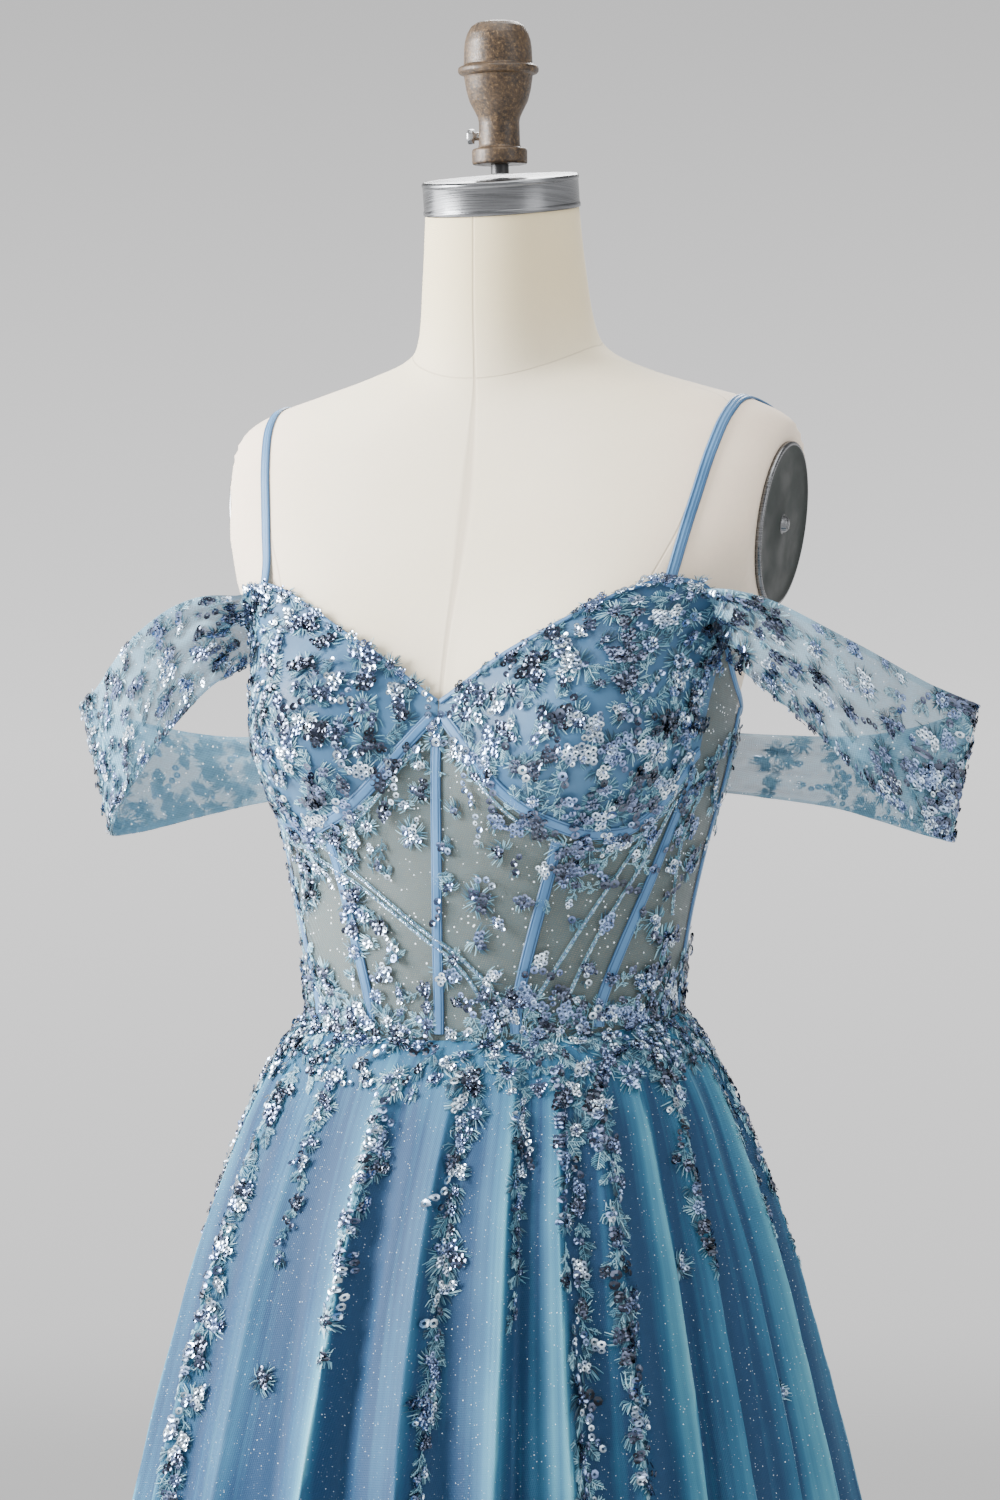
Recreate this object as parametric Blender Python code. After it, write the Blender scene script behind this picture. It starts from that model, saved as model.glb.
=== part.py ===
"""A-line prom gown on a limbless dress form.

The gown is built from the pieces that a dressmaker cuts: two bust cups, ten bodice panels, casings for
the wires and bones, a tulle skirt and its lining in gores, shoulder straps, off-shoulder sleeve drapes,
lace appliques and a back zip. The form carries it: a padded body, a neck cap, a finial, arm plates, a
pole and a round base.

Metres, +Z up. The origin is the middle of the base's underside. The front of the gown faces -Y and the
wearer's left is +X. Round the figure, an angle is 0 at the front, 90 at the wearer's left and 180 at
the back.
"""

import math
from collections import namedtuple

import bmesh
import bpy
import numpy as np

# ---- driving sizes -------------------------------------------------------------------------------------

WAIST = 1.070  # height of the waist seam at the sides and back
WAIST_DIP = 0.021  # how much lower it is at the front
HEM = 0.014  # height of the skirt's hem
SEAM_GAP = 0.0003  # between two pieces that are sewn together

CLOTH_CLEAR = 0.0018  # from the form's surface to the inside of the bodice
BODICE_WALL = 0.0014
CASING_WALL = 0.0012
LACE_WALL = 0.0014
LACE_LIFT = 0.00095  # from the cloth to the underside of an applique on folded cloth

NECKLINE_DIP = 1.268  # the sweetheart neckline at centre front
STRAP_BASE = 1.347  # the top of each cup
STRAP_ANGLE = 43.5  # where each strap leaves its cup
SIDE_OF_CUP = 72.0  # the seam between a cup and the side panel
BACK_NECK = 1.255  # the bodice's top edge across the back

TULLE_WALL = 0.0012
LINING_WALL = 0.0010
LINING_INSET = 0.0045  # the lining's outside, in from the tulle's deepest fold
LINING_TOP = 0.0012  # below the waist seam
LINING_SHORT = 0.006  # the lining's hem, above the tulle's

STRAP_WIDTH = 0.008
STRAP_WALL = 0.0012
SLEEVE_WALL = 0.0012

POLE_RADIUS = 0.016
BASE_RADIUS = 0.205
BASE_THICK = 0.018

# ---- tables --------------------------------------------------------------------------------------------

# Rings of the form, from the hip up. The three heights are the ring's at the front, side and back; front
# and back are distances from the pole's axis, and square is the exponent of the ring's superellipse.
Ring = namedtuple("Ring", "at_front at_side at_back half_width front back square")
FORM_RINGS = [
    Ring(0.800, 0.800, 0.800, 0.158, 0.096, 0.112, 2.2),
    Ring(0.855, 0.855, 0.855, 0.164, 0.102, 0.120, 2.2),
    Ring(0.905, 0.905, 0.905, 0.158, 0.103, 0.116, 2.2),
    Ring(0.955, 0.955, 0.955, 0.146, 0.102, 0.103, 2.2),
    Ring(1.005, 1.005, 1.005, 0.130, 0.102, 0.087, 2.2),
    Ring(1.060, 1.060, 1.060, 0.1230, 0.102, 0.079, 2.2),
    Ring(1.115, 1.115, 1.115, 0.1285, 0.105, 0.083, 2.2),
    Ring(1.170, 1.170, 1.170, 0.1390, 0.106, 0.093, 2.2),
    Ring(1.222, 1.222, 1.222, 0.1520, 0.104, 0.103, 2.2),
    Ring(1.270, 1.270, 1.270, 0.1600, 0.098, 0.112, 2.2),
    Ring(1.312, 1.312, 1.312, 0.1720, 0.088, 0.118, 2.2),
    Ring(1.350, 1.350, 1.350, 0.1960, 0.075, 0.120, 2.3),
    Ring(1.382, 1.384, 1.384, 0.2100, 0.065, 0.118, 2.4),
    Ring(1.408, 1.420, 1.422, 0.2120, 0.057, 0.113, 2.3),
    Ring(1.430, 1.452, 1.455, 0.1970, 0.052, 0.105, 2.1),
    Ring(1.444, 1.467, 1.477, 0.1730, 0.049, 0.098, 2.0),
    Ring(1.456, 1.478, 1.490, 0.1370, 0.047, 0.091, 2.0),
    Ring(1.467, 1.489, 1.503, 0.1000, 0.045, 0.084, 2.0),
    Ring(1.480, 1.501, 1.517, 0.0700, 0.044, 0.078, 2.0),
    Ring(1.497, 1.517, 1.535, 0.0595, 0.045, 0.071, 2.0),
    Ring(1.540, 1.556, 1.572, 0.0545, 0.047, 0.062, 2.0),
    Ring(1.588, 1.597, 1.606, 0.0515, 0.047, 0.055, 2.0),
]
NECK_BASE = 17  # the ring where the neck begins
FLAT_RINGS = 12  # this many rings, from the hip to the strap's base, are level

BUST_ANGLE = 36.0
BUST_HEIGHT = 1.254
BUST_DEPTH = 0.034
BUST_SPREAD = 25.0  # degrees
BUST_ABOVE = 0.080  # how far the bust fades upwards, and downwards
BUST_BELOW = 0.058

# The flat that cuts off each arm leans in towards its foot.
ARM_FLAT_X = 0.187  # at the middle of the arm plate
ARM_PLATE_HEIGHT = 1.386
ARM_PLATE_Y = 0.028
ARM_FLAT_LEAN = 0.14
ARM_PLATE_HALF = (0.045, 0.055)  # half its depth and half its height

# The outline of the skirt: drop below the waist, half width, and how far it reaches to front and back.
Flare = namedtuple("Flare", "drop half_width front back")
SKIRT_FLARE = [
    Flare(0.000, 0.1266, 0.1056, 0.0826),
    Flare(0.014, 0.1390, 0.118, 0.092),
    Flare(0.030, 0.1490, 0.128, 0.099),
    Flare(0.054, 0.1610, 0.142, 0.113),
    Flare(0.102, 0.1785, 0.168, 0.141),
    Flare(0.155, 0.1955, 0.190, 0.166),
    Flare(0.210, 0.2090, 0.207, 0.185),
    Flare(0.272, 0.2235, 0.224, 0.204),
    Flare(0.316, 0.2325, 0.234, 0.216),
    Flare(0.500, 0.2775, 0.281, 0.266),
    Flare(0.750, 0.3390, 0.342, 0.330),
    Flare(1.056, 0.4050, 0.408, 0.398),
]

# The folds of the tulle, going round from the wearer's right side past the front: where each crest
# stands, how deep it is against the mean, and where the valley after it lies on the way to the next.
Fold = namedtuple("Fold", "crest depth valley")
FOLDS = [
    Fold(-76, 0.8, 0.50), Fold(-62, 0.9, 0.45), Fold(-47, 1.0, 0.50), Fold(-30, 0.9, 0.55),
    Fold(-9, 1.3, 0.32), Fold(7, 1.3, 0.34), Fold(22, 1.2, 0.36), Fold(33, 1.0, 0.40),
    Fold(43, 0.7, 0.50), Fold(56, 1.1, 0.40), Fold(67, 0.9, 0.42), Fold(78, 0.9, 0.45),
    Fold(91, 1.0, 0.50), Fold(105, 1.0, 0.55), Fold(119, 0.9, 0.50), Fold(132, 1.1, 0.45),
    Fold(146, 1.0, 0.55), Fold(159, 0.9, 0.50), Fold(172, 0.8, 0.50), Fold(188, 0.8, 0.50),
    Fold(202, 1.0, 0.45), Fold(215, 1.1, 0.50), Fold(229, 0.9, 0.55), Fold(243, 1.0, 0.50),
    Fold(256, 1.1, 0.45), Fold(270, 0.9, 0.50),
]  # fmt: skip
FOLD_DEPTH = 0.0245  # half of crest to valley, at the hem
FOLD_GROWTH = 0.72  # folds open with the drop to this power
WAIST_SQUARE = 0.2  # the skirt's top follows the form's ring, and turns to an ellipse as it drops
SQUARE_FADE = 0.06
FOLD_START = 0.012  # the folds are sewn flat this far below the waist
POINTS_A_FOLD = 5
SKIRT_ROWS = (0.0, 0.050, 0.115, 0.20, 0.31, 0.47, 0.70, 1.0)  # shares of the drop
# The gores' seams lie in the valleys after these folds, counted from 0. The last but one is centre back.
SKIRT_SEAMS = (1, 8, 13, 18, 23)
GORE_NAMES = ("front", "side_left", "back_left", "back_right", "side_right")
LINING_NAMES = ("back_left", "back_right", "front")
LINING_POINTS = 60
LINING_ROWS = (0.0, 0.06, 0.16, 0.45, 1.0)

# The bodice's seams from the waist up: their angle at the waist, under the bust and at the top edge.
Seam = namedtuple("Seam", "waist underbust top")
BODICE_SEAMS = {
    "centre": Seam(0.0, 0.0, 0.0),
    "princess": Seam(22.0, 31.0, 33.0),
    "side_front": Seam(50.0, 68.0, SIDE_OF_CUP),
    "side": Seam(97.0, 97.0, 97.0),
    "side_back": Seam(138.0, 134.0, 131.0),
    "centre_back": Seam(180.0, 180.0, 180.0),
}
UNDERBUST = 1.180

# Edges of the bodice as heights at angles: the top edge, and the foot of the cup where its wire runs.
Edge = namedtuple("Edge", "angle height")
TOP_EDGE = [
    Edge(0, NECKLINE_DIP), Edge(6, 1.282), Edge(12.5, 1.297), Edge(21.5, 1.314), Edge(29.5, 1.330),
    Edge(36.5, 1.342), Edge(STRAP_ANGLE, STRAP_BASE), Edge(53, 1.343), Edge(62, 1.328), Edge(72, 1.308),
    Edge(84, 1.286), Edge(97, 1.270), Edge(113, 1.262), Edge(138, 1.257), Edge(180, BACK_NECK),
]  # fmt: skip
CUP_FOOT = [
    Edge(0, 1.257), Edge(7, 1.233), Edge(14, 1.211), Edge(22, 1.195), Edge(30, 1.186), Edge(40, 1.180),
    Edge(49, 1.181), Edge(58, 1.194), Edge(SIDE_OF_CUP, 1.232), Edge(180, 1.232),
]  # fmt: skip

# A sleeve drape's two edges on the wearer's left, round the arm's place from near the cup to the back.
Station = namedtuple("Station", "top_x top_y top_z foot_x foot_y foot_z")
SLEEVE = [
    Station(0.1860, -0.0700, 1.3400, 0.1960, -0.0380, 1.2800),
    Station(0.2180, -0.0640, 1.3300, 0.2280, -0.0340, 1.2500),
    Station(0.2560, -0.0480, 1.3070, 0.2600, -0.0230, 1.2150),
    Station(0.2930, -0.0200, 1.2810, 0.2850, -0.0060, 1.1870),
    Station(0.3130, 0.0060, 1.2680, 0.2960, 0.0080, 1.1790),
    Station(0.3135, 0.0180, 1.2660, 0.2950, 0.0190, 1.1780),
    Station(0.2920, 0.0360, 1.2580, 0.2790, 0.0360, 1.1810),
    Station(0.2520, 0.0520, 1.2490, 0.2430, 0.0510, 1.1910),
    Station(0.2120, 0.0630, 1.2460, 0.2040, 0.0620, 1.2000),
]
SleeveEnd = namedtuple("SleeveEnd", "top_angle top_height foot_angle foot_height")
SLEEVE_FRONT_END = SleeveEnd(52.0, 1.3420, 76.0, 1.3000)  # where the drape is sewn to the bodice
SLEEVE_BACK_END = SleeveEnd(124.0, 1.2500, 121.0, 1.2100)
SLEEVE_LIFT = 0.0020  # from the bodice's outside to the drape's middle at its ends
SLEEVE_REACH = {"left": 1.07, "right": 0.99}  # how far each drape stands out, against the table
SLEEVE_STEPS = 28
SLEEVE_ROWS = 4

# A shoulder strap's way over the form: ring of the form, counted from 0 at the hip, and angle.
StrapStop = namedtuple("StrapStop", "ring angle")
STRAP_WAY = [
    StrapStop(11.2, 43.5), StrapStop(12.2, 45.5), StrapStop(13.3, 49.0), StrapStop(14.3, 57.0),
    StrapStop(15.0, 73.0), StrapStop(15.2, 90.0), StrapStop(14.9, 104.0), StrapStop(13.9, 118.0),
    StrapStop(12.5, 128.0), StrapStop(11.0, 133.0), StrapStop(9.2, 137.0),
]  # fmt: skip

# The lace sprays that trail down the skirt: the fold they start beside, counted from 0, the tulle's
# column after its crest on which the spray's first whole column lies, where along the drop a spray
# starts and ends, its number of lobes on each edge, and how wide its lobes are as a share of a column.
Spray = namedtuple("Spray", "fold column start end lobes reach")
SKIRT_SPRAYS = [
    Spray(2, 0, 0.028, 0.360, 7, 0.80), Spray(4, 0, 0.028, 0.205, 4, 0.75),
    Spray(5, 1, 0.028, 0.290, 6, 0.90), Spray(7, 1, 0.028, 0.420, 8, 0.98),
    Spray(8, 0, 0.028, 0.330, 7, 0.95), Spray(10, 1, 0.028, 0.160, 3, 0.80),
    Spray(13, 0, 0.028, 0.230, 5, 0.80), Spray(16, 1, 0.028, 0.330, 7, 0.80),
    Spray(20, 0, 0.028, 0.240, 5, 0.80), Spray(23, 1, 0.028, 0.330, 7, 0.80),
]  # fmt: skip

# The finial's turned outline, from its foot up: radius and height above its foot.
Turn = namedtuple("Turn", "radius height")
FINIAL = [
    Turn(0.0178, 0.0000), Turn(0.0185, 0.0012), Turn(0.0185, 0.0092), Turn(0.0177, 0.0104),
    Turn(0.0140, 0.0112), Turn(0.0136, 0.0292), Turn(0.0155, 0.0335), Turn(0.0196, 0.0420),
    Turn(0.0221, 0.0522), Turn(0.0229, 0.0585), Turn(0.0258, 0.0600), Turn(0.0271, 0.0627),
    Turn(0.0258, 0.0653), Turn(0.0229, 0.0669), Turn(0.0225, 0.0773), Turn(0.0210, 0.0857),
    Turn(0.0170, 0.0925), Turn(0.0088, 0.0953),
]  # fmt: skip
NECK_CAP_HALF = (0.0527, 0.0530)  # half its width and half its depth
NECK_CAP_HEIGHT = 0.0225
ROD_RADIUS = 0.006
ROD_SHOWS = 0.0085  # between the cap and the finial

# ---- materials -----------------------------------------------------------------------------------------

Finish = namedtuple("Finish", "colour roughness metallic")
FINISHES = {
    "form_linen": Finish((0.80, 0.75, 0.66), 0.9, 0.0),
    "brushed_steel": Finish((0.55, 0.56, 0.57), 0.35, 1.0),
    "speckled_bronze": Finish((0.36, 0.26, 0.15), 0.6, 0.3),
    "dark_steel": Finish((0.13, 0.14, 0.13), 0.45, 0.7),
    "black_steel": Finish((0.02, 0.02, 0.02), 0.5, 0.4),
    "cup_satin": Finish((0.25, 0.42, 0.62), 0.6, 0.0),
    "sheer_mesh": Finish((0.42, 0.50, 0.50), 0.7, 0.0),
    "satin_binding": Finish((0.22, 0.42, 0.66), 0.45, 0.0),
    "glitter_tulle": Finish((0.30, 0.47, 0.60), 0.7, 0.0),
    "skirt_lining": Finish((0.14, 0.33, 0.52), 0.6, 0.0),
    "lace": Finish((0.33, 0.52, 0.60), 0.7, 0.0),
    "zip_metal": Finish((0.32, 0.45, 0.58), 0.4, 0.5),
}


def material(name):
    """The named finish as a Principled material, made the first time it is asked for."""
    found = bpy.data.materials.get(name)
    if found:
        return found
    made = bpy.data.materials.new(name)
    made.use_nodes = True
    shader = made.node_tree.nodes["Principled BSDF"]
    finish = FINISHES[name]
    shader.inputs["Base Color"].default_value = (*finish.colour, 1.0)
    shader.inputs["Roughness"].default_value = finish.roughness
    shader.inputs["Metallic"].default_value = finish.metallic
    return made


# ---- curves through tables -----------------------------------------------------------------------------


def through(places, values, at):
    """A smooth curve through the values: a cubic between each pair, its slopes never overshooting."""
    places, values, at = (np.asarray(x, float) for x in (places, values, at))
    steps = np.diff(places)
    rises = np.diff(values) / steps
    slopes = np.empty(len(places))
    slopes[0], slopes[-1] = rises[0], rises[-1]
    before, after = rises[:-1], rises[1:]
    mean = (steps[1:] * before + steps[:-1] * after) / (steps[:-1] + steps[1:])
    most = 3 * np.minimum(np.abs(before), np.abs(after))
    slopes[1:-1] = np.where(before * after > 0, np.sign(mean) * np.minimum(np.abs(mean), most), 0.0)
    i = np.clip(np.searchsorted(places, at, side="right") - 1, 0, len(steps) - 1)
    t = np.clip((at - places[i]) / steps[i], 0.0, 1.0)
    start, end = (1 + 2 * t) * (1 - t) ** 2, t * t * (3 - 2 * t)
    lead, trail = t * (1 - t) ** 2 * steps[i], t * t * (t - 1) * steps[i]
    return start * values[i] + end * values[i + 1] + lead * slopes[i] + trail * slopes[i + 1]


def column(table, name):
    return np.array([getattr(row, name) for row in table], float)


def edge_height(edge, angle):
    """The height of a bodice edge at an angle, the same on both sides of the figure."""
    folded = np.abs((np.asarray(angle, float) + 180.0) % 360.0 - 180.0)
    return through(column(edge, "angle"), column(edge, "height"), folded)


def waist_at(angle):
    """The height of the waist seam at an angle: level at the sides and back, dipping to the front."""
    return WAIST - WAIST_DIP * ((1 + np.cos(np.radians(angle))) / 2) ** 1.5


# ---- the form's surface --------------------------------------------------------------------------------


def arm_flat(height):
    """How far out the arm's flat lies at a height."""
    return ARM_FLAT_X + ARM_FLAT_LEAN * (height - ARM_PLATE_HEIGHT)


def form_at(ring, angle):
    """Points of the form on a ring, whole or between two rings, at an angle in degrees."""
    ring, angle = np.broadcast_arrays(np.asarray(ring, float), np.asarray(angle, float))
    numbers = np.arange(len(FORM_RINGS))
    row = {name: through(numbers, column(FORM_RINGS, name), ring) for name in Ring._fields}
    s, c = np.sin(np.radians(angle)), np.cos(np.radians(angle))
    power = 2.0 / row["square"]
    middle, half_depth = (row["back"] - row["front"]) / 2, (row["back"] + row["front"]) / 2
    x = row["half_width"] * np.sign(s) * np.abs(s) ** power
    y = middle - half_depth * np.sign(c) * np.abs(c) ** power
    end = np.where(c > 0, row["at_front"], row["at_back"])
    bend = 2.0 - np.clip((ring - NECK_BASE) / (len(FORM_RINGS) - 1 - NECK_BASE), 0, 1)  # the top is flat
    z = row["at_side"] + (end - row["at_side"]) * np.abs(c) ** bend
    out_x, out_y = s * half_depth, -c * row["half_width"]
    swell = bust_swell(angle, z) / np.hypot(out_x, out_y)
    x, y = x + out_x * swell, y + out_y * swell
    limit = arm_flat(z)
    return np.stack([np.clip(x, -limit, limit), y, z], axis=-1)


def bust_swell(angle, height):
    """How far the bust stands out from the ribcage."""
    folded = np.abs((angle + 180.0) % 360.0 - 180.0)
    across = np.exp(-(((folded - BUST_ANGLE) / BUST_SPREAD) ** 2))
    above = np.exp(-((np.maximum(height - BUST_HEIGHT, 0) / BUST_ABOVE) ** 2.0))
    below = np.exp(-((np.maximum(BUST_HEIGHT - height, 0) / BUST_BELOW) ** 2.4))
    return BUST_DEPTH * across * above * below


def ring_at(height):
    """The ring number at a height, where the rings are level."""
    numbers = np.linspace(0, FLAT_RINGS - 1, 400)
    heights = through(np.arange(FLAT_RINGS), column(FORM_RINGS[:FLAT_RINGS], "at_side"), numbers)
    return np.interp(height, heights, numbers)


def outward(surface, u, v, step_u, step_v):
    """Unit normals of a surface of two parameters, pointing away from the figure."""
    along = surface(u + step_u, v) - surface(u - step_u, v)
    up = surface(u, v + step_v) - surface(u, v - step_v)
    normal = np.cross(along, up)
    return normal / np.linalg.norm(normal, axis=-1, keepdims=True)


def form_by_height(angle, height):
    return form_at(ring_at(height), angle)


def on_bodice(angle, height, lift):
    """A point this far off the form's surface, for what is fitted over it."""
    return form_by_height(angle, height) + lift * outward(form_by_height, angle, height, 1.0, 0.002)


# ---- the skirt's surface -------------------------------------------------------------------------------


def fold_wave(angle):
    """(wave, depth) of the tulle's folds at an angle: the wave is 1 on a crest and -1 in a valley."""
    crests = column(FOLDS, "crest")
    turned = crests[0] + (np.asarray(angle, float) - crests[0]) % 360.0
    i = np.searchsorted(crests, turned, side="right") - 1
    following = np.append(crests[1:], crests[0] + 360.0)[i]
    share = (turned - crests[i]) / (following - crests[i])
    valley = column(FOLDS, "valley")[i]
    falling = np.cos(np.pi * share / valley)
    rising = -np.cos(np.pi * (share - valley) / (1 - valley))
    depths = column(FOLDS, "depth")
    depth = depths[i] + (np.roll(depths, -1)[i] - depths[i]) * share
    return np.where(share < valley, falling, rising), depth


def fold_opening(drop):
    """Half of crest to valley at a drop, for a fold of mean depth."""
    share = np.maximum(np.asarray(drop, float) - FOLD_START, 0.0) / (WAIST - HEM - FOLD_START)
    return FOLD_DEPTH * share**FOLD_GROWTH


def skirt_at(angle, drop, inset=0.0, fold_share=1.0):
    """Points of the skirt at an angle and a drop below the waist, moved in by an inset."""
    angle, drop = np.broadcast_arrays(np.asarray(angle, float), np.asarray(drop, float))
    drops = column(SKIRT_FLARE, "drop")
    half_width, front, back = (
        through(drops, column(SKIRT_FLARE, name), drop) for name in ("half_width", "front", "back")
    )
    middle, half_depth = (back - front) / 2, (back + front) / 2
    wave, depth = fold_wave(angle)
    opening = fold_opening(drop) * depth
    out = fold_share * opening * wave - inset
    s, c = np.sin(np.radians(angle)), np.cos(np.radians(angle))
    power = 2.0 / (2.0 + WAIST_SQUARE * np.exp(-drop / SQUARE_FADE))
    x = (half_width + out) * np.sign(s) * np.abs(s) ** power
    y = middle - (half_depth + out) * np.sign(c) * np.abs(c) ** power
    waist = waist_at(angle)
    z = waist - drop * (waist - HEM) / (WAIST - HEM)
    return np.stack([x, y, z], axis=-1)


# ---- turning points into solids ------------------------------------------------------------------------


def add_solid(name, points, faces, finish, smooth_angle=40.0):
    """One closed object from points and faces, its faces turned outwards."""
    mesh = bpy.data.meshes.new(name)
    mesh.from_pydata([tuple(p) for p in points], [], faces)
    shape = bmesh.new()
    shape.from_mesh(mesh)
    bmesh.ops.recalc_face_normals(shape, faces=shape.faces)
    shape.to_mesh(mesh)
    shape.free()
    mesh.shade_smooth()
    mesh.set_sharp_from_angle(angle=math.radians(smooth_angle))
    mesh.materials.append(material(finish))
    made = bpy.data.objects.new(name, mesh)
    bpy.context.scene.collection.objects.link(made)
    return made


def add_wall(name, inner, outer, finish):
    """A sheet of cloth with a thickness, from its inner and outer grids of points."""
    rows, columns = inner.shape[:2]
    count = rows * columns

    def number(i, j, side):
        return side * count + i * columns + j

    faces = []
    for i in range(rows - 1):
        for j in range(columns - 1):
            corners = [(i, j), (i, j + 1), (i + 1, j + 1), (i + 1, j)]
            faces.append([number(a, b, 1) for a, b in corners])
            faces.append([number(a, b, 0) for a, b in reversed(corners)])
    rim = [(i, 0) for i in range(rows)] + [(rows - 1, j) for j in range(1, columns)]
    rim += [(i, columns - 1) for i in range(rows - 2, -1, -1)] + [(0, j) for j in range(columns - 2, 0, -1)]
    for (a, b), (c, d) in zip(rim, rim[1:] + rim[:1], strict=True):
        faces.append([number(a, b, 0), number(c, d, 0), number(c, d, 1), number(a, b, 1)])
    return add_solid(name, np.concatenate([inner.reshape(-1, 3), outer.reshape(-1, 3)]), faces, finish)


def add_loft(name, rings, finish):
    """A solid through closed rings of points, with a flat end on each."""
    count = len(rings[0])
    faces = [list(range(count)), [(len(rings) - 1) * count + k for k in range(count)]]
    for i in range(len(rings) - 1):
        for k in range(count):
            n = (k + 1) % count
            faces.append([i * count + k, i * count + n, (i + 1) * count + n, (i + 1) * count + k])
    return add_solid(name, np.concatenate(rings), faces, finish)


def disc(radius_x, radius_y, height, sides):
    """A level ring of points about the Z axis."""
    turn = np.linspace(0, 2 * np.pi, sides, endpoint=False)
    return np.stack([radius_x * np.cos(turn), radius_y * np.sin(turn), height + 0 * turn], axis=-1)


def smooth_path(points, count):
    """Evenly numbered points on a smooth curve through a list of points."""
    points = np.asarray(points, float)
    numbers = np.arange(len(points))
    at = np.linspace(0, len(points) - 1, count)
    return np.stack([through(numbers, points[:, k], at) for k in range(points.shape[1])], axis=-1)


# ---- the dress form ------------------------------------------------------------------------------------

FORM_STOPS = (0, 2, 4, 5, 6, 7, 7.3, 7.55, 7.8, 8.05, 8.3, 8.6, 9, 10, 10.5, 11) + tuple(range(12, 22))
FORM_ANGLES = (6, 12, 18, 25, 33, 41, 49, 58, 68, 78, 88, 99, 110, 122, 135, 150, 165)


def make_form_body():
    angles = np.array([0, *FORM_ANGLES, 180, *(-a for a in reversed(FORM_ANGLES))], float)
    add_loft("form_body", [form_at(stop, angles) for stop in FORM_STOPS], "form_linen")


def neck_top_frame():
    """The middle of the form's neck and the tilt of its top, in radians, forwards and down."""
    top = FORM_RINGS[-1]
    middle = np.array([0.0, (top.back - top.front) / 2, (top.at_front + top.at_back) / 2])
    return middle, math.atan2(top.at_back - top.at_front, top.back + top.front)


def tilted(points, middle, tilt):
    """Points about the origin, tipped forwards and moved to a place."""
    c, s = math.cos(tilt), math.sin(tilt)
    x, y, z = points.T
    return np.stack([x, c * y - s * z, s * y + c * z], axis=-1) + middle


def make_neck_cap():
    middle, tilt = neck_top_frame()
    wide, deep = NECK_CAP_HALF
    bevel = 0.0016
    rings = [
        disc(wide, deep, SEAM_GAP, 40),
        disc(wide, deep, NECK_CAP_HEIGHT - bevel, 40),
        disc(wide - bevel, deep - bevel, NECK_CAP_HEIGHT, 40),
    ]
    add_loft("form_neck_cap", [tilted(ring, middle, tilt) for ring in rings], "brushed_steel")


def make_finial():
    """The rod in the neck cap, the turned finial on it and the screw that clamps it."""
    middle, tilt = neck_top_frame()
    lean = tilt / 4  # the rod stands nearly upright in the tilted cap
    rod_foot = middle + tilted(np.array([[0.0, 0.0, NECK_CAP_HEIGHT]]), 0.0, tilt)[0]
    sunk = ROD_RADIUS * math.tan(tilt - lean)
    rod = [disc(ROD_RADIUS, ROD_RADIUS, h, 16) for h in (sunk + 2 * SEAM_GAP, ROD_SHOWS)]
    add_loft("form_finial_rod", [tilted(ring, rod_foot, lean) for ring in rod], "black_steel")
    foot = ROD_SHOWS + SEAM_GAP
    rings = [disc(turn.radius, turn.radius, foot + turn.height, 18) for turn in FINIAL]
    add_loft("form_finial", [tilted(ring, rod_foot, lean) for ring in rings], "speckled_bronze")
    make_finial_screw(rod_foot, lean, foot)


def make_finial_screw(rod_foot, lean, foot):
    """A hexagonal clamp screw on the finial's neck, at the wearer's right and a little to the front."""
    start, head = 0.0141, 0.0040
    rings = []
    outline = ((start, 0.0030), (start + head, 0.0030), (start + head, 0.0046), (start + 2 * head, 0.0040))
    for reach, radius in outline:
        ring = disc(radius, radius, reach, 6)
        rings.append(np.stack([-ring[:, 2], ring[:, 0], ring[:, 1] + foot + 0.0190], axis=-1))
    turn = math.radians(12)
    c, s = math.cos(turn), math.sin(turn)
    placed = [np.stack([c * r[:, 0] - s * r[:, 1], s * r[:, 0] + c * r[:, 1], r[:, 2]], axis=-1) for r in rings]
    add_loft("form_finial_screw", [tilted(ring, rod_foot, lean) for ring in placed], "brushed_steel")


def make_arm_plates():
    """A steel plate with a softened edge on each arm's flat, and a rivet's head in its middle."""
    lean = math.atan(ARM_FLAT_LEAN)
    deep, tall = ARM_PLATE_HALF
    plate = [(0.0, 1.0), (0.0030, 1.0), (0.0042, 0.93), (0.0042, 0.09), (0.0062, 0.07)]
    for side, name in ((1, "left"), (-1, "right")):
        middle = np.array([ARM_FLAT_X, ARM_PLATE_Y, ARM_PLATE_HEIGHT])

        def placed(ring):
            """A ring in the YZ plane, tipped with the flat."""
            out, y, z = ring[:, 2] + SEAM_GAP, ring[:, 0], ring[:, 1]
            x = math.cos(lean) * out + math.sin(lean) * z
            moved = np.stack([x, y, math.cos(lean) * z - math.sin(lean) * out], axis=-1) + middle
            return moved * (side, 1, 1)

        rings = [placed(disc(deep * share, tall * share, out, 24)) for out, share in plate]
        add_loft(f"form_arm_plate_{name}", rings, "dark_steel")


def make_stand():
    """A round base with a softened edge, and a pole up to the form's foot."""
    bevel = 0.004
    rings = [
        disc(BASE_RADIUS, BASE_RADIUS, 0.0, 48),
        disc(BASE_RADIUS, BASE_RADIUS, BASE_THICK - bevel, 48),
        disc(BASE_RADIUS - bevel, BASE_RADIUS - bevel, BASE_THICK, 48),
    ]
    add_loft("stand_base", rings, "black_steel")
    heights = (BASE_THICK + SEAM_GAP, FORM_RINGS[0].at_side - SEAM_GAP)
    add_loft("stand_pole", [disc(POLE_RADIUS, POLE_RADIUS, z, 20) for z in heights], "black_steel")


# ---- the bodice ----------------------------------------------------------------------------------------


def seam_angle(name, height):
    """A bodice seam's angle at a height."""
    seam = BODICE_SEAMS[name]
    top = edge_height(TOP_EDGE, seam.top)
    return through([WAIST, UNDERBUST, top], [seam.waist, seam.underbust, seam.top], height)


def mirrored(angles, side):
    return angles if side > 0 else -angles


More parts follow.
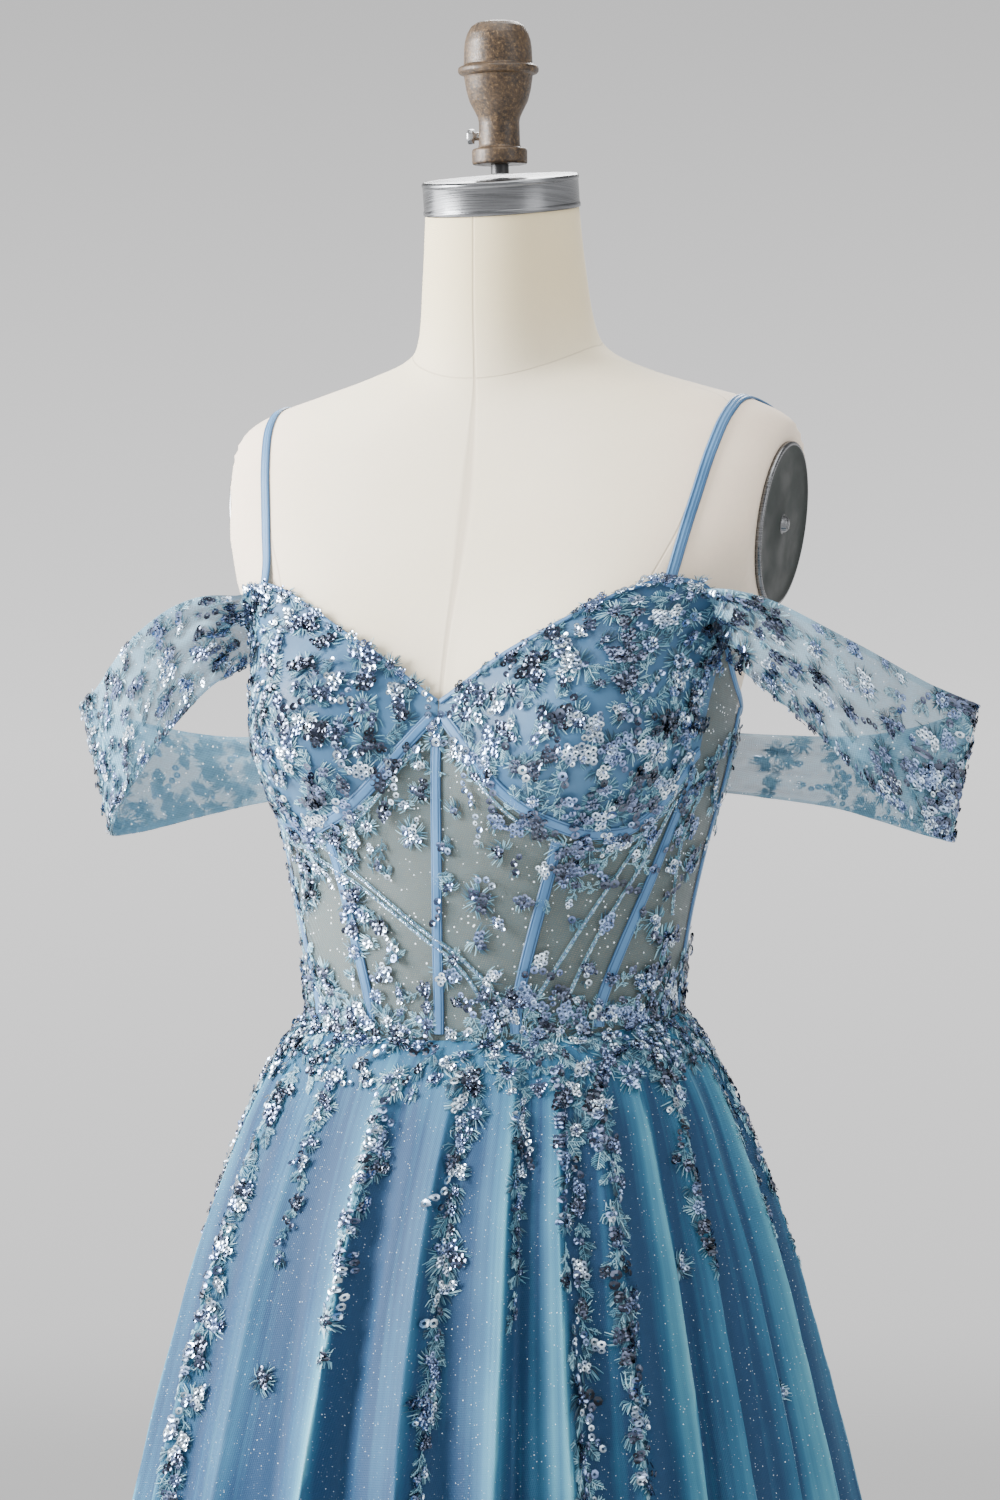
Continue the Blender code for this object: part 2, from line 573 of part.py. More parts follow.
LOW_ROWS = (0.0, 0.27, 0.51, 0.72, 0.88, 1.0)  # of a panel, from the waist to the level of the cup's foot
HIGH_ROWS = (0.0, 0.12, 0.25, 0.40, 0.57, 0.78, 1.0)  # and from there to the top edge


def bodice_grid(first, last, columns, side):
    """Angles and heights of a panel between two seams, from the waist to the cup's foot or on to the top edge.

    Neighbours have points at the same heights all along their seam.
    """
    share = np.linspace(0, 1, columns)[None, :]
    low, high = np.array(LOW_ROWS)[:, None], np.array(HIGH_ROWS)[1:, None]
    under_cup = first in ("centre", "princess")
    ends = [BODICE_SEAMS[name].underbust if under_cup else BODICE_SEAMS[name].top for name in (first, last)]
    at_top = ends[0] + (ends[1] - ends[0]) * share
    middle = edge_height(CUP_FOOT, at_top) - SEAM_GAP * under_cup
    ends = [BODICE_SEAMS[name].waist for name in (first, last)]
    foot = waist_at(ends[0] + (ends[1] - ends[0]) * share) + SEAM_GAP
    height = foot + low * (middle - foot)
    if not under_cup:
        top = edge_height(TOP_EDGE, at_top)
        height = np.concatenate([height, middle + high * (top - middle)])
    left, right = seam_angle(first, height), seam_angle(last, height)
    trim = math.degrees(SEAM_GAP / 2 / 0.10)
    angle = (left + trim) + (right - left - 2 * trim) * share
    return mirrored(angle, side), height


def add_fitted(name, angle, height, lift, wall, finish):
    inner, outer = on_bodice(angle, height, lift), on_bodice(angle, height, lift + wall)
    return add_wall(name, inner, outer, finish)


PANELS = (
    ("front", "centre", "princess", 6),
    ("side_front", "princess", "side_front", 7),
    ("side", "side_front", "side", 6),
    ("side_back", "side", "side_back", 5),
    ("back", "side_back", "centre_back", 6),
)


def make_bodice_panels():
    """Five panels on each side of the centre front, cut to the form between the bone casings."""
    for side, hand in ((1, "left"), (-1, "right")):
        for name, first, last, columns in PANELS:
            angle, height = bodice_grid(first, last, columns, side)
            add_fitted(f"bodice_{name}_{hand}", angle, height, CLOTH_CLEAR, BODICE_WALL, "sheer_mesh")


def cup_grid():
    """Angles and heights of the left cup, from its foot up, in step with the panels under it."""
    front, beside = (bodice_grid(first, last, columns, 1) for _, first, last, columns in PANELS[:2])
    angle, foot = (np.append(a[-1], b[-1, 1:])[None, :] for a, b in zip(front, beside, strict=True))
    high = np.array(HIGH_ROWS)[:, None]
    foot, top = foot + SEAM_GAP, edge_height(TOP_EDGE, angle)
    return angle + 0 * high, foot + high * (top - foot)


def on_cup(columns, rows, lift):
    """Points off the left cup's flat facets, at fractional numbers of its columns and rows."""
    points = on_bodice(*cup_grid(), CLOTH_CLEAR + BODICE_WALL + lift)
    i = np.clip(rows.astype(int), 0, points.shape[0] - 2)
    j = np.clip(columns.astype(int), 0, points.shape[1] - 2)
    up, along = (rows - i)[..., None], (columns - j)[..., None]
    lower = points[i, j] * (1 - along) + points[i, j + 1] * along
    upper = points[i + 1, j] * (1 - along) + points[i + 1, j + 1] * along
    return lower * (1 - up) + upper * up


def make_cups():
    """A moulded cup over each side of the bust, from its wire to the neckline."""
    angle, height = cup_grid()
    for side, hand in ((1, "left"), (-1, "right")):
        add_fitted(f"cup_{hand}", mirrored(angle, side), height, CLOTH_CLEAR, BODICE_WALL, "cup_satin")


def add_on_cups(name, columns, rows, lift, wall, finish):
    """The same piece on both cups."""
    inner, outer = on_cup(columns, rows, lift), on_cup(columns, rows, lift + wall)
    for side, hand in ((1, "left"), (-1, "right")):
        flip = np.array([side, 1, 1])
        add_wall(f"{name}_{hand}", inner * flip, outer * flip, finish)


CASING_LIFT = CLOTH_CLEAR + BODICE_WALL + 3 * SEAM_GAP
WAIST_LACE_TOP = 0.026  # the waist's lace reaches this far up the bodice
CASING_HALF = 0.0042


def make_casings():
    """The satin casings: one for each bone, on the seams, and one under each cup for its wire."""
    rise = np.linspace(0, 1, 9)[:, None]
    across = np.array([[-1.0, 1.0]])
    for name, tops in (("centre", CUP_FOOT), ("princess", CUP_FOOT), ("side", TOP_EDGE)):
        top = edge_height(tops, seam_angle(name, 9.0)) - 0.009
        if name == "centre":
            top -= 0.012
        foot = waist_at(BODICE_SEAMS[name].waist) + WAIST_LACE_TOP + 0.001
        height = foot + rise * (top - foot) + 0 * across
        middle = seam_angle(name, height)
        angle = middle + np.degrees(CASING_HALF / 0.115) * across
        for side, hand in ((1, "left"), (-1, "right")):
            label = "bone_casing_centre" if name == "centre" else f"bone_casing_{name}_{hand}"
            if name == "centre" and side < 0:
                continue
            add_fitted(label, mirrored(angle, side), height, CASING_LIFT, CASING_WALL, "satin_binding")
    make_slanted_casings()
    make_wire_casings()


def make_slanted_casings():
    """The casing on the side front seam, from the waist up beside the cup."""
    rise = np.linspace(0, 1, 9)[:, None]
    across = np.array([[-1.0, 1.0]])
    foot = waist_at(BODICE_SEAMS["side_front"].waist) + WAIST_LACE_TOP + 0.001
    top = edge_height(CUP_FOOT, SIDE_OF_CUP) - 0.030
    height = foot + rise * (top - foot) + 0 * across
    angle = seam_angle("side_front", height) + np.degrees(CASING_HALF / 0.115) * across
    for side, hand in ((1, "left"), (-1, "right")):
        name = f"bone_casing_side_front_{hand}"
        add_fitted(name, mirrored(angle, side), height, CASING_LIFT, CASING_WALL, "satin_binding")


WIRE_ROWS = (0.08, 0.66)  # the wire's casing lies between these shares of the cup's lowest facets


def make_wire_casings():
    """The curved casing of each bust wire, just above the cup's foot."""
    last = cup_grid()[0].shape[1] - 1
    columns = np.concatenate([[0.35], np.arange(1, last), [last - 0.2]])[:, None]
    rows = np.array([WIRE_ROWS])
    add_on_cups("wire_casing", columns + 0 * rows, rows + 0 * columns, 3 * SEAM_GAP, CASING_WALL, "satin_binding")


# ---- straps and sleeves --------------------------------------------------------------------------------

STRAP_LIFT = 0.0007


def make_straps():
    """Narrow straps from the top of each cup over the shoulder to the back's top edge."""
    way = smooth_path(STRAP_WAY, 27)
    middle = form_at(way[:, 0], way[:, 1])
    normal = outward(form_at, way[:, 0], way[:, 1], 0.05, 1.0)
    normal = -normal  # the ring number rises where the other surfaces' angle does
    for i in range(2):
        middle[i] += normal[i] * (CLOTH_CLEAR + BODICE_WALL) * (2 - i) / 2
        middle[-1 - i] += normal[-1 - i] * (CLOTH_CLEAR + BODICE_WALL) * (2 - i) / 2
    heading = np.gradient(middle, axis=0)
    sideways = np.cross(normal, heading)
    sideways /= np.linalg.norm(sideways, axis=-1, keepdims=True)
    offsets = (-STRAP_WIDTH / 2, STRAP_WIDTH / 2)
    inner = np.stack([middle + k * sideways + STRAP_LIFT * normal for k in offsets], axis=1)
    outer = np.stack([middle + k * sideways + (STRAP_LIFT + STRAP_WALL) * normal for k in offsets], axis=1)
    for side, hand in ((1, "left"), (-1, "right")):
        flip = np.array([side, 1, 1])
        add_wall(f"strap_{hand}", inner * flip, outer * flip, "satin_binding")


def sleeve_end(end):
    """The points of one sewn end of a drape, from its foot to its top, a little off the bodice."""
    share = np.linspace(0, 1, SLEEVE_ROWS)
    angle = end.foot_angle + (end.top_angle - end.foot_angle) * share
    height = end.foot_height + (end.top_height - end.foot_height) * share
    return on_bodice(angle, height, CLOTH_CLEAR + BODICE_WALL + SLEEVE_LIFT)


def sleeve_grid():
    """The sleeve drape's middle surface on the wearer's left, as rows from its foot to its top edge."""
    share = np.linspace(0, 1, SLEEVE_ROWS)[:, None]
    stations = [sleeve_end(SLEEVE_FRONT_END)]
    for row in SLEEVE:
        top, foot = np.array(row[:3]), np.array(row[3:])
        stations.append(foot + (top - foot) * share)
    stations.append(sleeve_end(SLEEVE_BACK_END))
    flat = smooth_path(np.array(stations).reshape(len(stations), -1), SLEEVE_STEPS)
    return flat.reshape(SLEEVE_STEPS, SLEEVE_ROWS, 3)


def make_sleeves():
    """An off-shoulder drape on each side: a loop of cloth from the cup round to the back panel."""
    at_rest = sleeve_grid()
    root = at_rest[:1, -1:, 0]
    for side, hand in ((1, "left"), (-1, "right")):
        middle = at_rest.copy()
        reach = np.maximum(at_rest[..., 0] - root, 0.0)
        fade = np.sin(np.pi * np.linspace(0, 1, SLEEVE_STEPS))[:, None]
        middle[..., 0] += (SLEEVE_REACH[hand] - 1.0) * reach * fade
        along, up = np.gradient(middle, axis=0), np.gradient(middle, axis=1)
        normal = np.cross(along, up)
        normal /= np.linalg.norm(normal, axis=-1, keepdims=True)
        inner, outer = middle - normal * SLEEVE_WALL / 2, middle + normal * SLEEVE_WALL / 2
        flip = np.array([side, 1, 1])
        add_wall(f"sleeve_{hand}", inner * flip, outer * flip, "glitter_tulle")


# ---- the skirt -----------------------------------------------------------------------------------------


def tulle_angles():
    """Angles that follow the folds: the same number between each crest, valley and the next crest."""
    crests = column(FOLDS, "crest")
    following = np.append(crests[1:], crests[0] + 360.0)
    found = []
    for crest, after, valley in zip(crests, following, column(FOLDS, "valley"), strict=True):
        dip = crest + (after - crest) * valley
        half = POINTS_A_FOLD // 2
        found += list(np.linspace(crest, dip, half, endpoint=False))
        found += list(np.linspace(dip, after, POINTS_A_FOLD - half, endpoint=False))
    return np.array(found)


def gores(names, seams, angles):
    """Each gore's name and the angles of its columns, just clear of the seams on both sides of it.

    The seams are numbers of columns, and the last gore runs on through the first column.
    """
    trim = math.degrees(SEAM_GAP / 2 / 0.11)
    round_again = np.concatenate([angles, angles + 360.0])
    for name, first, last in zip(names, seams, seams[1:] + (seams[0] + len(angles),), strict=True):
        turned = round_again[first : last + 1].copy()
        turned[0] += trim
        turned[-1] -= trim
        yield name, turned[None, :]


def lining_inset(drop):
    """The lining's outside lies just inside the deepest valley of the tulle."""
    return LINING_INSET + column(FOLDS, "depth").max() * fold_opening(drop)


def skirt_drops():
    return np.array(SKIRT_ROWS) * (WAIST - HEM)


def make_skirt():
    """The tulle skirt in five gores, and under it a plain lining in three."""
    drops = skirt_drops()[:, None]
    seams = tuple(fold * POINTS_A_FOLD + POINTS_A_FOLD // 2 for fold in SKIRT_SEAMS)
    for name, turned in gores(GORE_NAMES, seams, tulle_angles()):
        outer, inner = skirt_at(turned, drops), skirt_at(turned, drops, TULLE_WALL)
        add_wall(f"skirt_{name}", inner, outer, "glitter_tulle")
    drops = np.array(LINING_ROWS)[:, None] * (WAIST - HEM - LINING_SHORT) + LINING_TOP
    inset = lining_inset(drops)
    inset[0] = TULLE_WALL + 2.5 * SEAM_GAP
    quarter = LINING_POINTS // 4
    angles = np.linspace(0, 360, LINING_POINTS, endpoint=False)
    for name, turned in gores(LINING_NAMES, (quarter, 2 * quarter, 3 * quarter), angles):
        outer, inner = skirt_at(turned, drops, inset, 0.0), skirt_at(turned, drops, inset + LINING_WALL, 0.0)
        add_wall(f"lining_{name}", inner, outer, "skirt_lining")


# ---- lace ----------------------------------------------------------------------------------------------


def on_garment(angle, drop, lift):
    """A point off the skirt below the waist, or off the bodice above it, where drop is below 0."""
    below = skirt_at(angle, np.maximum(drop, 0.0), -lift)
    above = on_bodice(angle, waist_at(angle) - np.minimum(drop, 0.0), lift + CLOTH_CLEAR + BODICE_WALL)
    return np.where((drop > 0)[..., None], below, above)


def on_tulle(columns, drop, lift):
    """Points off the skirt's flat facets, at fractional numbers of its columns and at drops."""
    drops, angles = skirt_drops(), tulle_angles()
    rows = np.interp(drop, drops, np.arange(len(drops)))
    i = np.minimum(rows.astype(int), len(drops) - 2)
    j = np.floor(columns).astype(int)
    down, along = (rows - i)[..., None], (columns - j)[..., None]
    count = len(angles)

    def corner(row, turned):
        return skirt_at(angles[turned % count], drops[row], -lift)

    upper = corner(i, j) * (1 - along) + corner(i, j + 1) * along
    lower = corner(i + 1, j) * (1 - along) + corner(i + 1, j + 1) * along
    return upper * (1 - down) + lower * down


def spray_steps(spray):
    """Shares of a spray's length: the middle and ends of its lobes, and each row of the skirt it crosses."""
    lobes = np.linspace(0, 1, 2 * spray.lobes + 1)
    rows = (skirt_drops() - spray.start) / (spray.end - spray.start)
    rows = rows[(rows > 0) & (rows < 1)]
    kept = [step for step in lobes if np.min(np.abs(rows - step), initial=1.0) > 0.3 / spray.lobes or step in (0, 1)]
    return np.sort(np.concatenate([kept, rows]))


def make_skirt_sprays():
    """Tapering sprays of lace that trail down the tulle from the waist, lobed for flowers and leaves."""
    least = 0.14
    for number, spray in enumerate(SKIRT_SPRAYS, 1):
        along = spray_steps(spray)
        drop = spray.start + along[:, None] * (spray.end - spray.start)
        lobe = np.abs(np.sin(np.pi * spray.lobes * along))
        left = least + (spray.reach - least) * lobe * (1 - 0.5 * along)
        right = least + (spray.reach - least) * np.roll(lobe, 1) * (1 - 0.5 * along)
        first = spray.fold * POINTS_A_FOLD + spray.column
        columns = np.stack([first - left, first + 0 * left, first + 1 + 0 * left, first + 1 + right], axis=1)
        inner = on_tulle(columns, drop + 0 * columns, LACE_LIFT)
        outer = on_tulle(columns, drop + 0 * columns, LACE_LIFT + LACE_WALL)
        add_wall(f"skirt_spray_{number:02d}", inner, outer, "lace")


WAIST_LACE_LOBES = 9
CUP_LACE_COLUMNS = (1.0, 7.0)  # of the cup, where the lace starts and ends


def make_waist_lace():
    """A scalloped belt of lace over the waist seam, in two halves that end beside the zip."""
    turned = np.linspace(0.3, 171.0, 4 * WAIST_LACE_LOBES + 1)[:, None]
    scallop = np.abs(np.cos(np.pi * WAIST_LACE_LOBES * (turned / 171.0)))
    foot, head = 0.010 + 0.012 * scallop, -WAIST_LACE_TOP * (0.50 + 0.45 * scallop)
    drop = np.concatenate([foot, 0.0 * foot, head], axis=1)
    for side, hand in ((1, "left"), (-1, "right")):
        angle = mirrored(turned + 0 * drop, side)
        inner = on_garment(angle, drop, LACE_LIFT)
        outer = on_garment(angle, drop, LACE_LIFT + LACE_WALL)
        add_wall(f"waist_lace_{hand}", inner, outer, "lace")


def make_cup_lace():
    """A spray of lace over each cup, scalloped at both edges, from near the dip to the strap's base."""
    last = CUP_LACE_COLUMNS[1]
    columns = np.arange(CUP_LACE_COLUMNS[0], last + 0.1, 0.5)[:, None]
    scallop = (np.arange(len(columns)) % 2)[:, None]
    top = len(HIGH_ROWS) - 1
    low, high = 0.95 - 0.20 * scallop, top - 0.25 + 0.19 * scallop
    rows = np.concatenate([low] + [0 * low + k for k in range(1, top)] + [high], axis=1)
    add_on_cups("cup_lace", columns + 0 * rows, rows, 3 * SEAM_GAP, LACE_WALL, "lace")


# ---- the zip -------------------------------------------------------------------------------------------

ZIP_LIFT = CLOTH_CLEAR + BODICE_WALL + 2 * SEAM_GAP
ZIP_FOOT = WAIST + 0.004
ZIP_HALF = 0.0030
ZIP_WALL = 0.0012
SLIDER_TOP = BACK_NECK - 0.006
SLIDER_LONG = 0.0100
SLIDER_HALF = 0.0028
SLIDER_WALL = 0.0014
BRIDGE_CLEAR = 0.0006  # round the pull's bar
PULL_BAR = 0.0008  # half the thickness of the pull's bar and frame
PULL_LONG = 0.0240


def box_points(low, high):
    return [(x, y, z) for x in (low[0], high[0]) for y in (low[1], high[1]) for z in (low[2], high[2])]


def add_outline(name, outline, half_width, finish):
    """A solid with an outline in the YZ plane, as wide as asked in X."""
    count = len(outline)
    points = [(x, y, z) for x in (-half_width, half_width) for y, z in outline]
    faces = [list(range(count)), list(range(count, 2 * count))]
    faces += [[k, (k + 1) % count, (k + 1) % count + count, k + count] for k in range(count)]
    return add_solid(name, points, faces, finish)


def zip_surface(height):
    """How far back the zip's outer face lies at a height."""
    return float(on_bodice(180.0, height, ZIP_LIFT + ZIP_WALL)[1])


def pull_axis():
    """The middle of the pull's bar, about which it swings."""
    height = SLIDER_TOP - 0.40 * SLIDER_LONG
    back = zip_surface(SLIDER_TOP) + SEAM_GAP + SLIDER_WALL + BRIDGE_CLEAR + PULL_BAR
    return back, height


def make_zip():
    """The zip's raised teeth down the centre back, its slider with a bridge, and the hanging pull."""
    rise = np.linspace(0, 1, 9)[:, None]
    across = np.array([[-1.0, 1.0]])
    height = ZIP_FOOT + rise * (SLIDER_TOP - ZIP_FOOT) + 0 * across
    angle = 180.0 + np.degrees(ZIP_HALF / 0.10) * across
    add_fitted("zip_teeth", angle, height, ZIP_LIFT, ZIP_WALL, "zip_metal")
    back, axis_height = pull_axis()
    foot = SLIDER_TOP - SLIDER_LONG
    face = max(zip_surface(SLIDER_TOP), zip_surface(foot)) + SEAM_GAP
    plate = back - PULL_BAR - BRIDGE_CLEAR
    hole = PULL_BAR + BRIDGE_CLEAR
    roof = back + hole + 0.0009
    outline = [
        (face, foot), (plate, foot), (roof, axis_height - hole - 0.0012), (roof, axis_height + hole + 0.0012),
        (plate, SLIDER_TOP), (face, SLIDER_TOP),
    ]  # fmt: skip
    slider = add_outline("zip_slider", outline, SLIDER_HALF, "zip_metal")
    tunnel = add_outline(
        "slider_tunnel_cutter",
        [(back + y * hole, axis_height + z * hole) for y, z in ((-1, -1), (1, -1), (1, 1), (-1, 1))],
        2 * SLIDER_HALF,
        "zip_metal",
    )
    tunnel.hide_render = True
    tunnel.display_type = "WIRE"
    slider_cut = slider.modifiers.new("tunnel", "BOOLEAN")
    slider_cut.object = tunnel
    slider_cut.operation = "DIFFERENCE"
    make_pull(back, axis_height)


def make_pull(back, axis_height):
    """A frame round the slider's bridge, running down into a flat tab. Its origin is on its hinge."""
    arm = SLIDER_HALF + BRIDGE_CLEAR
    foot = SLIDER_LONG * 0.95
    outer = [
        (-arm - 0.0016, PULL_BAR), (arm + 0.0016, PULL_BAR), (arm + 0.0016, -foot), (0.0030, -foot - 0.004),
        (0.0030, -PULL_LONG + 0.003), (0.0018, -PULL_LONG), (-0.0018, -PULL_LONG), (-0.0030, -PULL_LONG + 0.003),
        (-0.0030, -foot - 0.004), (-arm - 0.0016, -foot),
    ]  # fmt: skip
    hole = [(-arm, -PULL_BAR), (arm, -PULL_BAR), (arm, -foot + 0.0012), (-arm, -foot + 0.0012)]
    count = len(outer)
    points = [(x, y, z) for y in (-PULL_BAR, PULL_BAR) for x, z in outer]
    faces = [list(range(count)), list(range(count, 2 * count))]
    faces += [[k, (k + 1) % count, (k + 1) % count + count, k + count] for k in range(count)]
    pull = add_solid("zip_pull", points, faces, "zip_metal")
    pull.location = (0.0, back, axis_height)
    points = [(x, y, z) for y in (-4 * PULL_BAR, 4 * PULL_BAR) for x, z in hole]
    faces = [[0, 1, 2, 3], [4, 5, 6, 7]] + [[k, (k + 1) % 4, (k + 1) % 4 + 4, k + 4] for k in range(4)]
    window = add_solid("pull_window_cutter", points, faces, "zip_metal")
    window.location = pull.location
    window.hide_render = True
    window.display_type = "WIRE"
    cut = pull.modifiers.new("window", "BOOLEAN")
    cut.object = window
    cut.operation = "DIFFERENCE"


def main():
    for old in list(bpy.data.objects):
        bpy.data.objects.remove(old)
    make_form_body()
    make_neck_cap()
    make_finial()
    make_arm_plates()
    make_stand()
    make_bodice_panels()
    make_cups()
    make_casings()
    make_straps()
    make_sleeves()
    make_skirt()
    make_skirt_sprays()
    make_waist_lace()
    make_cup_lace()
    make_zip()


main()
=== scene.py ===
import math

import bpy
import numpy as np
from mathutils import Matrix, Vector


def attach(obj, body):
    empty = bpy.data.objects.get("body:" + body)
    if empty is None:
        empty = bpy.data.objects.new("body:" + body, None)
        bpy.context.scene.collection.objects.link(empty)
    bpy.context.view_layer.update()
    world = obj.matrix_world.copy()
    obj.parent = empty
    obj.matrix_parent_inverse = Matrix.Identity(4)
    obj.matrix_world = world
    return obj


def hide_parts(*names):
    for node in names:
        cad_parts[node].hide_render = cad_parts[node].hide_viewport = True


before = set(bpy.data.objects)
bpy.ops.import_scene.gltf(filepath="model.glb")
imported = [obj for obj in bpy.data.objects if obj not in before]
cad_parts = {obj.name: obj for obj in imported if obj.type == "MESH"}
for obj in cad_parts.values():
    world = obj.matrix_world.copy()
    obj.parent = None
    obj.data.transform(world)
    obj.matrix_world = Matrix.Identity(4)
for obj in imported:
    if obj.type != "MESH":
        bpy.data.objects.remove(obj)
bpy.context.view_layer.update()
rng = np.random.default_rng(20)
print("frame loaded")

# sizes shared by several pieces, in metres and degrees (0 front, 90 wearer's left)

waistZ, waistDip, hemZ = 1.070, 0.021, 0.014
clothLift, wallThick = 0.0018, 0.0014  # form to cloth, and the cloth's wall
outerLift = clothLift + wallThick
sideOfCup = 72.0
hands = ((1, "left"), (-1, "right"))  # the wearer's, with the sign of their x

# heights at front, side, back; half width; reach to front and back; roundness exponent
formRings = np.array([
    [0.800, 0.800, 0.800, 0.158, 0.096, 0.112, 2.2], [0.855, 0.855, 0.855, 0.164, 0.102, 0.120, 2.2],
    [0.905, 0.905, 0.905, 0.158, 0.103, 0.116, 2.2], [0.955, 0.955, 0.955, 0.146, 0.102, 0.103, 2.2],
    [1.005, 1.005, 1.005, 0.130, 0.102, 0.087, 2.2], [1.060, 1.060, 1.060, 0.123, 0.102, 0.079, 2.2],
    [1.115, 1.115, 1.115, 0.1285, 0.105, 0.083, 2.2], [1.170, 1.170, 1.170, 0.139, 0.106, 0.093, 2.2],
    [1.222, 1.222, 1.222, 0.152, 0.104, 0.103, 2.2], [1.270, 1.270, 1.270, 0.160, 0.098, 0.112, 2.2],
    [1.312, 1.312, 1.312, 0.172, 0.088, 0.118, 2.2], [1.350, 1.350, 1.350, 0.196, 0.075, 0.120, 2.3],
    [1.382, 1.384, 1.384, 0.210, 0.065, 0.118, 2.4], [1.408, 1.420, 1.422, 0.212, 0.057, 0.113, 2.3],
    [1.430, 1.452, 1.455, 0.197, 0.052, 0.105, 2.1], [1.444, 1.467, 1.477, 0.173, 0.049, 0.098, 2.0],
    [1.456, 1.478, 1.490, 0.137, 0.047, 0.091, 2.0], [1.467, 1.489, 1.503, 0.100, 0.045, 0.084, 2.0],
    [1.480, 1.501, 1.517, 0.070, 0.044, 0.078, 2.0], [1.497, 1.517, 1.535, 0.0595, 0.045, 0.071, 2.0],
    [1.540, 1.556, 1.572, 0.0545, 0.047, 0.062, 2.0], [1.588, 1.597, 1.606, 0.0515, 0.047, 0.055, 2.0],
])
flatRings, neckBase = 12, 17
bust = {"angle": 36.0, "z": 1.254, "depth": 0.034, "spread": 25.0, "above": 0.080, "below": 0.058}
armFlat = {"x": 0.187, "z": 1.386, "lean": 0.14, "y": 0.028, "deep": 0.045, "tall": 0.055}

# bodice edges as angle, height
topEdge = np.array([
    [0, 1.268], [6, 1.282], [12.5, 1.297], [21.5, 1.314], [29.5, 1.330], [36.5, 1.342], [43.5, 1.347],
    [53, 1.343], [62, 1.328], [72, 1.308], [84, 1.286], [97, 1.270], [113, 1.262], [138, 1.257], [180, 1.255],
])
cupFoot = np.array([
    [0, 1.257], [7, 1.233], [14, 1.211], [22, 1.195], [30, 1.186], [40, 1.180], [49, 1.181], [58, 1.194],
    [72, 1.232], [180, 1.232],
])
# seam angles at the waist, at z 1.18 and at the top
seams = {"centre": (0, 0, 0), "princess": (22, 31, 33), "sideFront": (50, 68, 72), "side": (97, 97, 97),
         "sideBack": (138, 134, 131)}

# drop below the waist; half width; reach to front and back
skirtFlare = np.array([
    [0.000, 0.1266, 0.1056, 0.0826], [0.014, 0.1390, 0.118, 0.092], [0.030, 0.1490, 0.128, 0.099],
    [0.054, 0.1610, 0.142, 0.113], [0.102, 0.1785, 0.168, 0.141], [0.155, 0.1955, 0.190, 0.166],
    [0.210, 0.2090, 0.207, 0.185], [0.272, 0.2235, 0.224, 0.204], [0.316, 0.2325, 0.234, 0.216],
    [0.500, 0.2775, 0.281, 0.266], [0.750, 0.3390, 0.342, 0.330], [1.056, 0.4050, 0.408, 0.398],
])
# crest angle, depth, share of the way to the next crest where the valley lies
folds = np.array([
    [-76, 0.8, 0.40], [-62, 0.9, 0.36], [-47, 1.0, 0.38], [-30, 0.9, 0.40], [-9, 1.3, 0.26], [7, 1.3, 0.28],
    [22, 1.2, 0.28], [33, 1.0, 0.32], [43, 0.7, 0.40], [56, 1.1, 0.32], [67, 0.9, 0.34], [78, 0.9, 0.36],
    [91, 1.0, 0.40], [105, 1.0, 0.42], [119, 0.9, 0.40], [132, 1.1, 0.36], [146, 1.0, 0.42], [159, 0.9, 0.40],
    [172, 0.8, 0.40], [188, 0.8, 0.40], [202, 1.0, 0.36], [215, 1.1, 0.40], [229, 0.9, 0.42], [243, 1.0, 0.40],
    [256, 1.1, 0.36], [270, 0.9, 0.40],
])
foldDepth, foldGrowth, foldStart = 0.0245, 0.72, 0.012

# curves and surfaces


def through(places, values, at):
    # a cubic between each pair of values, its slopes never overshooting
    places, values, at = (np.asarray(x, float) for x in (places, values, at))
    steps = np.diff(places)
    rises = np.diff(values) / steps
    slopes = np.empty(len(places))
    slopes[0], slopes[-1] = rises[0], rises[-1]
    mean = (steps[1:] * rises[:-1] + steps[:-1] * rises[1:]) / (steps[:-1] + steps[1:])
    most = 3 * np.minimum(np.abs(rises[:-1]), np.abs(rises[1:]))
    slopes[1:-1] = np.where(rises[:-1] * rises[1:] > 0, np.sign(mean) * np.minimum(np.abs(mean), most), 0.0)
    i = np.clip(np.searchsorted(places, at, side="right") - 1, 0, len(steps) - 1)
    t = np.clip((at - places[i]) / steps[i], 0.0, 1.0)
    value = (1 + 2 * t) * (1 - t) ** 2 * values[i] + t * t * (3 - 2 * t) * values[i + 1]
    return value + (t * (1 - t) ** 2 * slopes[i] + t**2 * (t - 1) * slopes[i + 1]) * steps[i]


def folded(angle):
    # any angle as 0 to 180 degrees away from the front: |(angle + 180) mod 360 - 180|
    return np.abs((np.asarray(angle, float) + 180.0) % 360.0 - 180.0)


def edgeZ(edge, angle):
    # the height of a bodice edge, the same on both sides
    return through(edge[:, 0], edge[:, 1], folded(angle))


def waistAt(angle):
    # the waist seam dips in front: height = waistZ - waistDip * ((1 + cos angle) / 2)^1.5
    return waistZ - waistDip * ((1 + np.cos(np.radians(angle))) / 2) ** 1.5


